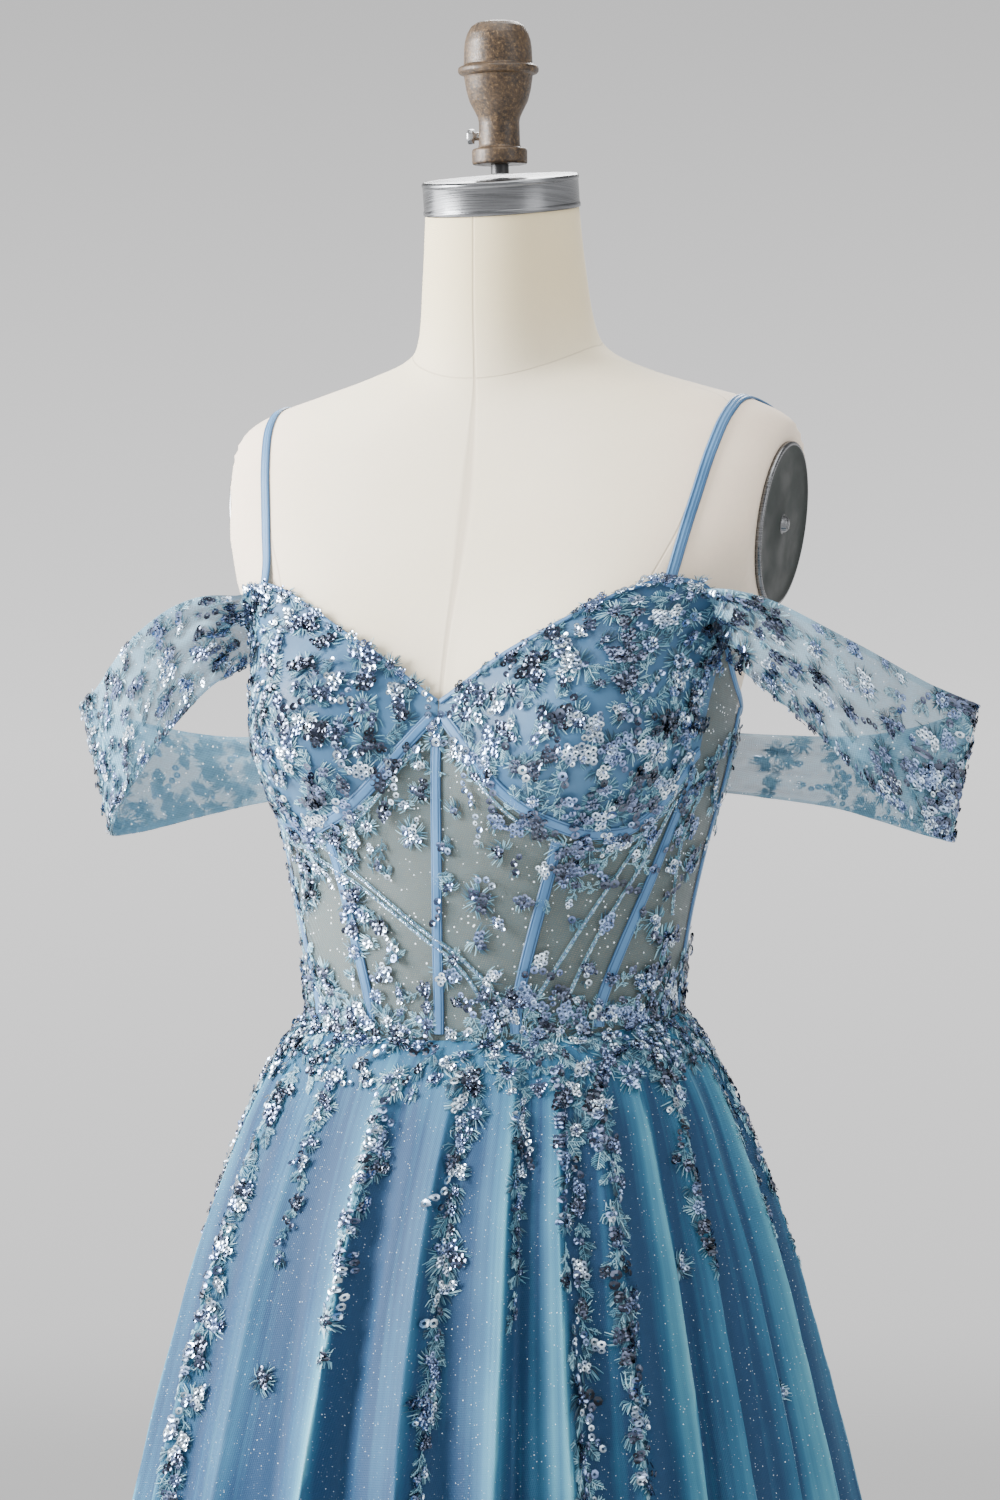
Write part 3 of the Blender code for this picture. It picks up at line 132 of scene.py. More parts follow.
def formAt(ring, angle):
    # superellipse: x = halfWidth * sin^p, y = middle - halfDepth * cos^p, the bust pushed out along its normal
    ring, angle = np.broadcast_arrays(np.asarray(ring, float), np.asarray(angle, float))
    count = np.arange(len(formRings))
    front, side, back, halfWidth, reach, behind, square = (through(count, formRings[:, k], ring) for k in range(7))
    s, c = np.sin(np.radians(angle)), np.cos(np.radians(angle))
    power = 2.0 / square
    middle, halfDepth = (behind - reach) / 2, (behind + reach) / 2
    x = halfWidth * np.sign(s) * np.abs(s) ** power
    y = middle - halfDepth * np.sign(c) * np.abs(c) ** power
    bend = 2.0 - np.clip((ring - neckBase) / (len(formRings) - 1 - neckBase), 0, 1)
    z = side + (np.where(c > 0, front, back) - side) * np.abs(c) ** bend
    outX, outY = s * halfDepth, -c * halfWidth
    across = np.exp(-(((folded(angle) - bust["angle"]) / bust["spread"]) ** 2))
    above = np.exp(-((np.maximum(z - bust["z"], 0) / bust["above"]) ** 2.0))
    below = np.exp(-((np.maximum(bust["z"] - z, 0) / bust["below"]) ** 2.4))
    swell = bust["depth"] * across * above * below / np.hypot(outX, outY)
    x, y = x + outX * swell, y + outY * swell
    limit = armFlat["x"] + armFlat["lean"] * (z - armFlat["z"])
    return np.stack([np.clip(x, -limit, limit), y, z], axis=-1)


levelNumbers = np.linspace(0, flatRings - 1, 400)
levelHeights = through(np.arange(flatRings), formRings[:flatRings, 1], levelNumbers)


def formByZ(angle, z):
    # the form below the shoulders, where each ring lies level
    return formAt(np.interp(z, levelHeights, levelNumbers), angle)


def normalsOf(surface, u, v, stepU, stepV):
    # unit cross product of the surface's two central differences
    along = surface(u + stepU, v) - surface(u - stepU, v)
    up = surface(u, v + stepV) - surface(u, v - stepV)
    normal = np.cross(along, up)
    return normal / np.maximum(np.linalg.norm(normal, axis=-1, keepdims=True), 1e-12)


def spanOf(surface, a, b, steps):
    # metres that the surface runs for one unit of each parameter
    ways = ((steps[0], 0.0), (0.0, steps[1]))
    return [np.linalg.norm(surface(a + i, b + j) - surface(a - i, b - j), axis=-1) / (2 * (i + j)) for i, j in ways]


def bodiceAt(angle, z, lift=0.0):
    # the dress's outer cloth surface over the form, and this much further out
    lift = np.asarray(lift, float)[..., None] + outerLift
    return formByZ(angle, z) + lift * normalsOf(formByZ, angle, z, 1.0, 0.002)


def slowDrift(turn, drop):
    # degrees that a fold wanders to the side on its way down
    return 1.3 * np.sin(turn * 5 + 1.0) * np.sin(drop * 5.2)


def foldWave(angle, drop):
    # 1 on a crest, -1 in a valley: a steep fall after each crest, then a long rise to the next.
    # With it go the fold's depth and the painted light and shade on its tulle, from 0 (painted shade) in the valley
    # to 1 (painted highlight) beside the crest
    crests = folds[:, 0]
    turn = np.radians(angle)
    drift = slowDrift(turn, drop) + 0.8 * np.sin(turn * 11 + drop * 9)
    angle = angle + drift * np.clip(drop / 0.25, 0, 1)
    turned = crests[0] + (angle - crests[0]) % 360.0
    i = np.clip(np.searchsorted(crests, turned, side="right") - 1, 0, len(crests) - 1)
    following = np.append(crests[1:], crests[0] + 360.0)[i]
    share = (turned - crests[i]) / (following - crests[i])
    valley = folds[i, 2]
    falling = share < valley
    risen = np.clip((share - valley) / (1 - valley), 0, 1)
    fall = 1 - 2 * np.sin(np.pi / 2 * np.clip(share / valley, 0, 1)) ** 0.9
    rise = -1 + 2 * (1 - np.cos(np.pi / 2 * risen)) ** 0.75
    small = 0.16 * np.sin(2 * np.pi * (share * 2.3 + 0.37 * i)) * np.sin(np.pi * share) ** 2
    depth = folds[i, 1] + (np.roll(folds[:, 1], -1)[i] - folds[i, 1]) * share
    bright = 0.62 + 0.38 * np.sin(i * 2.4 + 0.7)
    spread = 1.1 + 0.9 * np.sin(i * 1.7) ** 2
    # painted light and shade: a lighter fall just after each crest, dark in the valley, then a painted highlight
    # rising towards the next crest
    paintedFoldLight = np.where(falling, 0.45 * (1 - share / valley) ** 2, bright * risen**spread)
    return np.where(falling, fall, rise) + small * np.sin(drop * 7 + i), depth, paintedFoldLight


def foldOpening(drop):
    # half the way from valley to crest: foldDepth * (share of the drop to the hem)^foldGrowth
    share = np.maximum(drop - foldStart, 0.0) / (waistZ - hemZ - foldStart)
    return foldDepth * share**foldGrowth


def skirtAt(angle, drop, lift=0.0, foldShare=1.0):
    # an ellipse growing with the drop, plus the folds: out = opening * depth * wave + lift
    angle, drop = np.broadcast_arrays(np.asarray(angle, float), np.asarray(drop, float))
    halfWidth, front, back = (through(skirtFlare[:, 0], skirtFlare[:, k], drop) for k in (1, 2, 3))
    middle, halfDepth = (back - front) / 2, (back + front) / 2
    wave, depth, _ = foldWave(angle, drop)
    out = foldShare * foldOpening(drop) * depth * wave + lift
    s, c = np.sin(np.radians(angle)), np.cos(np.radians(angle))
    power = 2.0 / (2.0 + 0.2 * np.exp(-drop / 0.06))
    x = (halfWidth + out) * np.sign(s) * np.abs(s) ** power
    y = middle - (halfDepth + out) * np.sign(c) * np.abs(c) ** power
    waist = waistAt(angle)
    return np.stack([x, y, waist - drop * (waist - hemZ) / (waistZ - hemZ)], axis=-1)


def tulleAt(angle, drop, lift=0.0):
    # the outer skirt, and this much further out along its normal
    lift = np.asarray(lift, float)[..., None]
    return skirtAt(angle, drop) - lift * normalsOf(skirtAt, angle, drop, 0.25, 0.003)


def dressAt(angle, drop, lift=0.0):
    # the skirt below the waist seam and the bodice above it, where the drop is negative
    below = tulleAt(angle, np.maximum(drop, 0.0), lift)
    above = bodiceAt(angle, waistAt(angle) - np.minimum(drop, 0.0), lift)
    return np.where((drop > 0)[..., None], below, above)


# a sleeve drape on the wearer's left: top x, y, z and foot x, y, z
sleeveStations = np.array([
    [0.1860, -0.0700, 1.3400, 0.1960, -0.0380, 1.2800], [0.2180, -0.0640, 1.3300, 0.2280, -0.0340, 1.2500],
    [0.2560, -0.0480, 1.3070, 0.2600, -0.0230, 1.2150], [0.2930, -0.0200, 1.2810, 0.2850, -0.0060, 1.1870],
    [0.3130, 0.0060, 1.2680, 0.2960, 0.0080, 1.1790], [0.3135, 0.0180, 1.2660, 0.2950, 0.0190, 1.1780],
    [0.2920, 0.0360, 1.2580, 0.2790, 0.0360, 1.1810], [0.2520, 0.0520, 1.2490, 0.2430, 0.0510, 1.1910],
    [0.2120, 0.0630, 1.2460, 0.2040, 0.0620, 1.2000],
])
sleeve = {"rows": 25, "steps": 180, "reach": {"left": 1.07, "right": 0.99},
          "front": ((52.0, 1.3420), (76.0, 1.3000)), "back": ((124.0, 1.2500), (121.0, 1.2100))}


def sleeveTable(hand):
    # a grid of points [along, foot to top], its ends lying on the bodice
    share = np.linspace(0, 1, 9)

    def end(top, foot):
        return bodiceAt(foot[0] + (top[0] - foot[0]) * share, foot[1] + (top[1] - foot[1]) * share, 0.0012)

    body = sleeveStations[:, None, 3:] + (sleeveStations[:, None, :3] - sleeveStations[:, None, 3:]) * share[:, None]
    grid = np.concatenate([end(*sleeve["front"])[None], body, end(*sleeve["back"])[None]])
    root = grid[0, -1, 0]
    fade = np.sin(np.pi * np.linspace(0, 1, len(grid)))[:, None]
    grid[..., 0] += (sleeve["reach"][hand] - 1.0) * np.maximum(grid[..., 0] - root, 0) * fade
    return grid


sleeveGrids = {hand: sleeveTable(hand) for hand in ("left", "right")}


def sleeveMiddle(hand, s, t):
    # smooth along the stations, straight from the foot (t = 0) to the top (t = 1)
    grid = sleeveGrids[hand]
    at = np.clip(s, 0, 1) * (len(grid) - 1)
    row = np.clip(t, 0, 1) * 8
    j = np.clip(row.astype(int), 0, 7)
    points = np.empty(s.shape + (3,))
    for k in range(3):
        curves = np.stack([through(np.arange(len(grid)), grid[:, m, k], at) for m in range(9)], axis=-1)
        low = np.take_along_axis(curves, j[..., None], -1)[..., 0]
        high = np.take_along_axis(curves, j[..., None] + 1, -1)[..., 0]
        points[..., k] = low + (high - low) * (row - j)
    return points


def sleeveAt(hand, s, t, lift=0.0):
    # with soft pleats that open from each sewn end, and a slight outward curl
    s, t = np.broadcast_arrays(np.asarray(s, float), np.asarray(t, float))
    middle = sleeveMiddle(hand, s, t)
    inner = np.clip(s, 0.02, 0.98), np.clip(t, 0.1, 0.9)
    normal = normalsOf(lambda a, b: sleeveMiddle(hand, a, b), *inner, 0.01, 0.05)
    near = np.exp(-((s / 0.16) ** 2)) + 0.8 * np.exp(-(((1 - s) / 0.13) ** 2))
    pleat = 0.0038 * near * np.sin(t * 21 + 5 * s) * np.clip(s / 0.03, 0, 1) * np.clip((1 - s) / 0.03, 0, 1)
    wave = 0.0026 * np.sin(s * 23 + 2.2 * t) * np.sin(np.pi * s) * (0.4 + 0.6 * np.abs(2 * t - 1))
    points = middle + normal * (np.asarray(lift, float) + pleat + wave)[..., None]
    return points if hand == "left" else points * (-1, 1, 1)


print("surfaces ready")

# mesh helpers


def placed(name, data):
    # a new object in the scene, at the origin
    made = bpy.data.objects.new(name, data)
    bpy.context.scene.collection.objects.link(made)
    return made


def meshOf(name, points, quads, attributes=None, smooth=True):
    # one object from an array of points and an array of four-cornered faces
    mesh = bpy.data.meshes.new(name)
    points, quads = np.asarray(points, np.float32).reshape(-1, 3), np.asarray(quads, np.int32).reshape(-1, 4)
    mesh.vertices.add(len(points))
    mesh.vertices.foreach_set("co", points.ravel())
    mesh.loops.add(quads.size)
    mesh.loops.foreach_set("vertex_index", quads.ravel())
    mesh.polygons.add(len(quads))
    mesh.polygons.foreach_set("loop_start", np.arange(0, quads.size, 4, dtype=np.int32))
    mesh.update(calc_edges=True)
    for key, values in (attributes or {}).items():
        values = np.asarray(values, np.float32)
        kind = "FLOAT" if values.size == len(points) else "FLOAT_VECTOR"
        layer = mesh.attributes.new(key, kind, "POINT")
        layer.data.foreach_set("value" if kind == "FLOAT" else "vector", values.ravel())
    if smooth:
        mesh.shade_smooth()
    return placed(name, mesh)


def gridQuads(rows, columns, wrap=False):
    # the corners of each cell of a grid, counted row by row, and joined round where it wraps
    i = np.arange(rows - 1)[:, None]
    j = np.arange(columns if wrap else columns - 1)[None, :]
    m = (j + 1) % columns
    cells = [i * columns + j, i * columns + m, (i + 1) * columns + m, (i + 1) * columns + j]
    return np.stack(cells, axis=-1).reshape(-1, 4)


def gridOf(name, grid, wrap=False, flip=False, attributes=None):
    # one object from a grid of points [row, column]
    quads = gridQuads(*grid.shape[:2], wrap)
    return meshOf(name, grid, quads[:, ::-1] if flip else quads, attributes)


def latheOf(name, profile, sides, place=(0, 0, 0), tilt=0.0, square=1.0):
    # radius and height pairs turned about Z, closed on the axis, tipped forwards by the tilt
    profile = np.asarray(profile, float)
    turn = np.linspace(0, 2 * np.pi, sides, endpoint=False)
    x, y = profile[:, :1] * np.cos(turn), profile[:, :1] * np.sin(turn) * square
    z = profile[:, 1:2] + 0 * x
    c, s = math.cos(tilt), math.sin(tilt)
    grid = np.stack([x, c * y - s * z, s * y + c * z], axis=-1) + np.asarray(place)
    count = len(profile) * sides
    ends = [list(range(sides))[::-1], list(range(count - sides, count))]
    mesh = bpy.data.meshes.new(name)
    mesh.from_pydata(grid.reshape(-1, 3).tolist(), [], gridQuads(len(profile), sides, wrap=True).tolist() + ends)
    mesh.shade_smooth()
    mesh.set_sharp_from_angle(angle=math.radians(35))
    return placed(name, mesh)


def roundedProfile(corners, soft=0.0006, steps=3):
    # a turned outline whose inner corners are each cut by a short curve
    corners = np.asarray(corners, float)
    out = [corners[0]]
    for before, here, after in zip(corners[:-2], corners[1:-1], corners[2:]):
        back, on = before - here, after - here
        a = here + back * min(soft / max(np.linalg.norm(back), 1e-9), 0.45)
        b = here + on * min(soft / max(np.linalg.norm(on), 1e-9), 0.45)
        t = np.linspace(0, 1, steps)[:, None]
        out.extend((1 - t) ** 2 * a + 2 * t * (1 - t) * here + t * t * b)
    return np.array(out + [corners[-1]])


# materials


class Nodes:
    # adds nodes to a tree and joins them: a value given as a socket is linked, any other is set
    def __init__(self, tree):
        self.tree = tree

    def add(self, kind, settings=None, **inputs):
        node = self.tree.nodes.new(kind)
        for key, value in (settings or {}).items():
            setattr(node, key, value)
        self.into(node, **inputs)
        return node

    def into(self, node, **inputs):
        # Base_Color means the input "Base Color", i0 the first input
        for key, value in inputs.items():
            numbered = key[0] == "i" and key[1:].isdigit()
            self.feed(node.inputs[int(key[1:]) if numbered else key.replace("_", " ")], value)

    def feed(self, socket, value):
        if isinstance(value, bpy.types.NodeSocket):
            self.tree.links.new(value, socket)
        else:
            socket.default_value = value

    def math(self, operation, a, b=0.0):
        return self.add("ShaderNodeMath", {"operation": operation}, i0=a, i1=b).outputs[0]

    def plus(self, a, b):
        return self.math("ADD", a, b)

    def minus(self, a, b):
        return self.math("SUBTRACT", a, b)

    def times(self, a, b):
        return self.math("MULTIPLY", a, b)

    def place(self):
        # the point in its piece's own metres
        return self.add("ShaderNodeTexCoord").outputs["Object"]

    def noise(self, place, **inputs):
        return self.add("ShaderNodeTexNoise", Vector=place, **inputs).outputs[0]

    def spread(self, value, low, high, toLow=0.0, toHigh=1.0, smooth=True):
        # low to high becomes toLow to toHigh, held there outside
        kind = "SMOOTHSTEP" if smooth else "LINEAR"
        ends = {"From_Min": low, "From_Max": high, "To_Min": toLow, "To_Max": toHigh}
        return self.add("ShaderNodeMapRange", {"interpolation_type": kind}, Value=value, **ends).outputs[0]

    def mix(self, factor, a, b):
        node = self.add("ShaderNodeMix", {"data_type": "RGBA"})
        self.feed(node.inputs[0], factor)
        for place, colour in ((6, a), (7, b)):
            self.feed(node.inputs[place], (*colour, 1.0) if isinstance(colour, tuple) else colour)
        return node.outputs[2]

    def ramp(self, factor, stops):
        # colours by place along the factor
        node = self.add("ShaderNodeValToRGB", Fac=factor)
        ramp = node.color_ramp
        while len(ramp.elements) < len(stops):
            ramp.elements.new(0.5)
        for element, (place, colour) in zip(ramp.elements, stops):
            element.position, element.color = place, (*colour, 1.0)
        return node.outputs[0]

    def attribute(self, name):
        return self.add("ShaderNodeAttribute", {"attribute_name": name})


def newGroup(name, inputs, outputs):
    # a group of number sockets: inputs with their usual values, and outputs
    group = bpy.data.node_groups.new(name, "ShaderNodeTree")
    for label, value in inputs.items():
        socket = group.interface.new_socket(label, in_out="INPUT", socket_type="NodeSocketFloat")
        socket.default_value = value
    for label in outputs:
        group.interface.new_socket(label, in_out="OUTPUT", socket_type="NodeSocketFloat")
    return group, Nodes(group), group.nodes.new("NodeGroupInput"), group.nodes.new("NodeGroupOutput")


def buildWeave():
    # crossed threads: height = mean of two sine ridges over object coordinates, twisted for twill
    group, n, start, end = newGroup("clothWeave", {"Thread": 0.0010, "Twill": 0.0}, ("Height", "Tone"))
    place = n.place()
    axes = n.add("ShaderNodeSeparateXYZ", Vector=place)
    sideways = n.plus(axes.outputs[0], n.times(axes.outputs[1], 0.8))
    rate = n.math("DIVIDE", 2 * math.pi, start.outputs["Thread"])
    climb = n.plus(sideways, n.times(axes.outputs[2], start.outputs["Twill"]))
    warp = n.math("SINE", n.times(climb, rate))
    level = n.minus(axes.outputs[2], n.times(sideways, 0.15))
    weft = n.math("SINE", n.times(level, rate))
    weft = n.times(weft, n.minus(1.0, n.times(start.outputs["Twill"], 0.8)))
    height = n.times(n.plus(n.plus(warp, weft), 2.0), 0.25)
    slub = n.noise(place, Scale=260.0, Detail=2.0)
    n.into(end, Height=height, Tone=n.plus(n.times(height, 0.6), n.times(slub, 0.4)))
    return group


def buildGlitter():
    # small bright dots, one in some of the cells of a random grid
    inputs = {"Scale": 220.0, "Size": 0.10, "Amount": 0.5}
    group, n, start, end = newGroup("glitterDots", inputs, ("Mask", "Flash"))
    place = n.place()
    cells = n.add("ShaderNodeTexVoronoi", Vector=place, Scale=start.outputs["Scale"])
    parts = n.add("ShaderNodeSeparateColor", Color=cells.outputs["Color"])
    size = n.times(start.outputs["Size"], n.plus(parts.outputs[1], 0.5))
    near = n.math("LESS_THAN", cells.outputs["Distance"], size)
    chosen = n.math("LESS_THAN", parts.outputs[0], start.outputs["Amount"])
    n.into(end, Mask=n.times(near, chosen), Flash=parts.outputs[2])
    return group


def buildDrift():
    # slow unevenness of tone over a surface
    group, n, start, end = newGroup("toneDrift", {"Scale": 9.0}, ("Value",))
    n.into(end, Value=n.noise(n.place(), Scale=start.outputs["Scale"], Detail=3.0))
    return group


groups = {"weave": buildWeave(), "glitter": buildGlitter(), "drift": buildDrift()}


def groupNode(n, key, **inputs):
    # one of the shared groups, with its numbers set
    return n.add("ShaderNodeGroup", {"node_tree": groups[key]}, **inputs)


def newMaterial(name, **fixed):
    # a material, its nodes and its shader, with what is the same all over set on the shader
    made = bpy.data.materials.new(name)
    made.use_nodes = True
    n, shader = Nodes(made.node_tree), made.node_tree.nodes["Principled BSDF"]
    n.into(shader, **fixed)
    return made, n, shader


def bumpInto(n, shader, height, strength, distance):
    # a height from 0 to 1 as relief of this many metres
    bump = n.add("ShaderNodeBump", Strength=strength, Distance=distance, Height=height)
    n.into(shader, Normal=bump.outputs[0])


def linenMaterial():
    # twilled cream linen, each seam a dark sunk line where its distance in metres comes near 0
    made, n, shader = newMaterial("linen", Roughness=0.85, Sheen_Weight=0.25, Sheen_Roughness=0.5)
    weave = groupNode(n, "weave", Thread=0.0013, Twill=0.9)
    drift = groupNode(n, "drift", Scale=7.0)
    seam = n.attribute("seam").outputs["Vector"]
    parts = n.add("ShaderNodeSeparateXYZ", Vector=seam)
    away = [n.math("ABSOLUTE", parts.outputs[k]) for k in range(3)]
    near = n.math("MINIMUM", n.math("MINIMUM", away[0], away[1]), away[2])
    line = n.spread(near, 0.0002, 0.0011, 1.0, 0.0)
    colour = n.mix(n.spread(drift.outputs["Value"], 0.3, 0.7), (0.83, 0.735, 0.55), (0.88, 0.795, 0.62))
    place = n.add("ShaderNodeSeparateXYZ", Vector=n.place())
    # yellower up the neck; lighter and pinker out to the shoulders and sides, partly a pinker tone of the cover and
    # partly painted light on the shoulders
    colour = n.mix(n.spread(place.outputs[2], 1.44, 1.56, 0.0, 0.80), colour, (0.76, 0.63, 0.35))
    # partly painted light: the outer sides are mixed towards a lighter peach
    shoulderTintAndLight = n.spread(n.math("ABSOLUTE", place.outputs[0]), 0.09, 0.18, 0.0, 0.65)
    colour = n.mix(shoulderTintAndLight, colour, (1.0, 0.80, 0.64))
    colour = n.mix(n.times(weave.outputs["Tone"], 0.35), colour, (0.55, 0.48, 0.39))
    colour = n.mix(n.times(line, 0.38), colour, (0.38, 0.30, 0.22))
    n.into(shader, Base_Color=colour)
    height = n.minus(n.times(weave.outputs["Height"], 0.3), line)
    bumpInto(n, shader, height, 0.5, 0.0006)
    return made


def metalMaterial(name, colour, rough, metallic=1.0, stretch=(1, 1, 60), grain=18.0, deep=0.0002):
    # brushed along one axis: a stretched noise sets tone, roughness and relief
    made, n, shader = newMaterial(name, Metallic=metallic)
    place = n.place()
    turned = n.add("ShaderNodeMapping", Vector=place, Scale=stretch)
    noise = n.noise(turned.outputs[0], Scale=grain, Detail=4.0)
    dark = tuple(c * 0.72 for c in colour)
    n.into(shader, Base_Color=n.mix(n.spread(noise, 0.35, 0.65), dark, colour),
           Roughness=n.spread(noise, 0.3, 0.7, rough * 0.8, rough * 1.25))
    bumpInto(n, shader, noise, 0.25, deep)
    return made


def speckledMaterial():
    # cast and lacquered bronze: dark pits, pale flecks, worn darker at the edges
    made, n, shader = newMaterial("speckledBronze", Metallic=0.25, Coat_Weight=0.25, Coat_Roughness=0.35)
    place = n.place()
    coarse = n.noise(place, Scale=420.0, Detail=3.0, Roughness=0.7)
    fine = n.noise(place, Scale=1300.0, Detail=2.0)
    stain = groupNode(n, "drift", Scale=60.0).outputs["Value"]
    level = n.plus(n.times(coarse, 0.6), n.times(fine, 0.4))
    colour = n.ramp(level, [(0.36, (0.006, 0.004, 0.002)), (0.48, (0.035, 0.019, 0.008)),
                            (0.58, (0.095, 0.056, 0.024)), (0.70, (0.27, 0.18, 0.09))])
    edges = n.add("ShaderNodeNewGeometry").outputs["Pointiness"]
    colour = n.mix(n.spread(edges, 0.52, 0.60, 0.0, 0.75), colour, (0.06, 0.04, 0.025))
    colour = n.mix(n.spread(stain, 0.45, 0.75, 0.0, 0.45), colour, (0.12, 0.075, 0.04))
    n.into(shader, Base_Color=colour, Roughness=n.spread(fine, 0.35, 0.65, 0.35, 0.75))
    bumpInto(n, shader, coarse, 0.6, 0.0006)
    return made


def satinMaterial(name, colour, deepColour, rough=0.42, edged=False):
    # fine twill between two tones, with a soft sheen
    made, n, shader = newMaterial(name, Sheen_Weight=0.35, Sheen_Roughness=0.35, Specular_IOR_Level=0.3,
                                  Sheen_Tint=(0.6, 0.8, 1.0, 1.0))
    weave = groupNode(n, "weave", Thread=0.0006, Twill=0.6)
    drift = groupNode(n, "drift", Scale=22.0)
    tone = n.mix(n.spread(drift.outputs["Value"], 0.3, 0.7), deepColour, colour)
    tone = n.mix(n.times(weave.outputs["Tone"], 0.25), tone, deepColour)
    if edged:
        # darker along a stitched line near each edge, and darker over the edge band itself
        edge = n.attribute("across").outputs["Fac"]
        near = n.spread(n.math("ABSOLUTE", n.minus(edge, 0.60)), 0.04, 0.14, 0.8, 0.0)
        tone = n.mix(n.math("MAXIMUM", near, n.spread(edge, 0.80, 0.98, 0.0, 0.8)), tone, (0.015, 0.05, 0.12))
    n.into(shader, Base_Color=tone,
           Roughness=n.spread(drift.outputs["Value"], 0.3, 0.7, rough * 0.85, rough * 1.2))
    bumpInto(n, shader, weave.outputs["Height"], 0.35, 0.0002)
    return made


def netMaterial(name, colour, deepColour, alpha, dots, hem=False):
    # sheer net: part of the light passes between its threads, and glitter is caught in it; its brightest glitter dots
    # glow as painted glints
    made, n, shader = newMaterial(name, Roughness=0.6, Sheen_Weight=0.35, Sheen_Roughness=0.4, Emission_Strength=1.0)
    weave = groupNode(n, "weave", Thread=0.0012, Twill=0.3)
    glitter = groupNode(n, "glitter", Scale=dots, Size=0.14, Amount=0.60)
    tone = n.mix(weave.outputs["Tone"], deepColour, colour)
    tone = n.mix(glitter.outputs["Mask"], tone, (0.85, 0.90, 0.95))
    n.into(shader, Base_Color=tone)
    cover = n.spread(weave.outputs["Tone"], 0.2, 0.8, alpha * 0.88, alpha * 1.22)
    cover = n.math("MAXIMUM", cover, glitter.outputs["Mask"])
    if hem:
        edge = n.attribute("hem").outputs["Fac"]
        cover = n.math("MAXIMUM", cover, n.times(edge, 0.85))
    n.into(shader, Alpha=n.math("MINIMUM", cover, 1.0))
    # painted glints: the brightest glitter dots are given a glow of their own
    paintedGlint = n.times(glitter.outputs["Mask"], n.spread(glitter.outputs["Flash"], 0.2, 1.0, 0.0, 0.7))
    n.into(shader, Emission_Color=n.mix(paintedGlint, (0, 0, 0), (0.7, 0.85, 1.0)))
    bumpInto(n, shader, weave.outputs["Height"], 0.3, 0.0003)
    return made


def tulleMaterial():
    # layered tulle: paler and greyer on the crests as a painted highlight, saturated blue in the folds as painted
    # shade, streaked down its length
    made, n, shader = newMaterial("glitterTulle", Roughness=0.62, Sheen_Weight=0.55, Sheen_Roughness=0.30,
                                  Specular_IOR_Level=0.2, Sheen_Tint=(0.30, 0.76, 1.0, 1.0), Emission_Strength=1.0)
    # the fold attribute is painted light and shade: pale beside each crest, deep blue in each valley
    fold = n.attribute("fold").outputs["Fac"]
    weave = groupNode(n, "weave", Thread=0.0014, Twill=0.25)
    drift = groupNode(n, "drift", Scale=14.0)
    glitter = groupNode(n, "glitter", Scale=520.0, Size=0.13, Amount=0.62)
    turn = n.attribute("turn").outputs["Vector"]
    streak = n.noise(turn, Scale=1.0, Detail=3.0, Roughness=0.6)
    level = n.plus(fold, n.times(n.minus(drift.outputs["Value"], 0.5), 0.4))
    level = n.plus(level, n.times(n.minus(streak, 0.62), 0.9))
    colour = n.ramp(level, [(0.0, (0.008, 0.040, 0.105)), (0.35, (0.029, 0.130, 0.232)),
                            (0.70, (0.088, 0.310, 0.415)), (1.0, (0.270, 0.530, 0.600))])
    colour = n.mix(n.times(weave.outputs["Tone"], 0.22), colour, (0.04, 0.10, 0.17))
    hem = n.spread(n.add("ShaderNodeSeparateXYZ", Vector=turn).outputs[2], 0.9435, 0.9445)
    colour = n.mix(n.times(hem, 0.7), colour, (0.20, 0.36, 0.46))
    dots = n.times(glitter.outputs["Mask"], n.spread(glitter.outputs["Flash"], 0.1, 1.0, 0.1, 0.75))
    colour = n.mix(dots, colour, (0.80, 0.88, 0.95))
    n.into(shader, Base_Color=colour)
    # painted glints: the brightest of the glitter dots glow
    paintedGlint = n.times(glitter.outputs["Mask"], n.spread(glitter.outputs["Flash"], 0.80, 1.0, 0.0, 0.6))
    n.into(shader, Emission_Color=n.mix(paintedGlint, (0, 0, 0), (0.7, 0.85, 1.0)))
    bumpInto(n, shader, weave.outputs["Height"], 0.4, 0.0004)
    return made


def threadMaterial():
    # embroidery thread: each stitch has its own tint, from teal through pale blue to near white
    made, n, shader = newMaterial("embroideryThread", Roughness=0.42, Sheen_Weight=0.4, Sheen_Roughness=0.3,
                                  Specular_IOR_Level=0.6)
    tint = n.attribute("tint").outputs["Fac"]
    stops = [(0.0, (0.008, 0.036, 0.065)), (0.35, (0.030, 0.112, 0.180)), (0.65, (0.095, 0.285, 0.40)),
             (1.0, (0.40, 0.68, 0.80))]
    n.into(shader, Base_Color=n.ramp(tint, stops))
    place = n.place()
    twist = n.noise(place, Scale=2200.0, Detail=1.0)
    bumpInto(n, shader, twist, 0.3, 0.0002)
    return made


def sequinMaterial():
    # clear silver, lilac blue and gunmetal sequins, mixed by each one's own tint, with painted shade round the hole
    # and along the rim
    made, n, shader = newMaterial("sequin", Metallic=0.92, Coat_Weight=0.6, Coat_Roughness=0.08)
    tint = n.attribute("tint").outputs["Fac"]
    colour = n.ramp(tint, [(0.0, (0.025, 0.032, 0.05)), (0.30, (0.085, 0.105, 0.18)), (0.55, (0.17, 0.25, 0.47)),
                           (0.75, (0.24, 0.36, 0.60)), (1.0, (0.68, 0.82, 0.94))])
    ring = n.attribute("ring").outputs["Fac"]
    # painted shade: each sequin darkened next to its hole and along its outer rim
    dark = n.math("MAXIMUM", n.spread(ring, 0.34, 0.44, 1.0, 0.0), n.spread(ring, 0.86, 0.97, 0.0, 0.6))
    colour = n.mix(dark, colour, (0.03, 0.05, 0.08))
    n.into(shader, Base_Color=colour, Roughness=n.spread(tint, 0.0, 1.0, 0.12, 0.22))
    return made


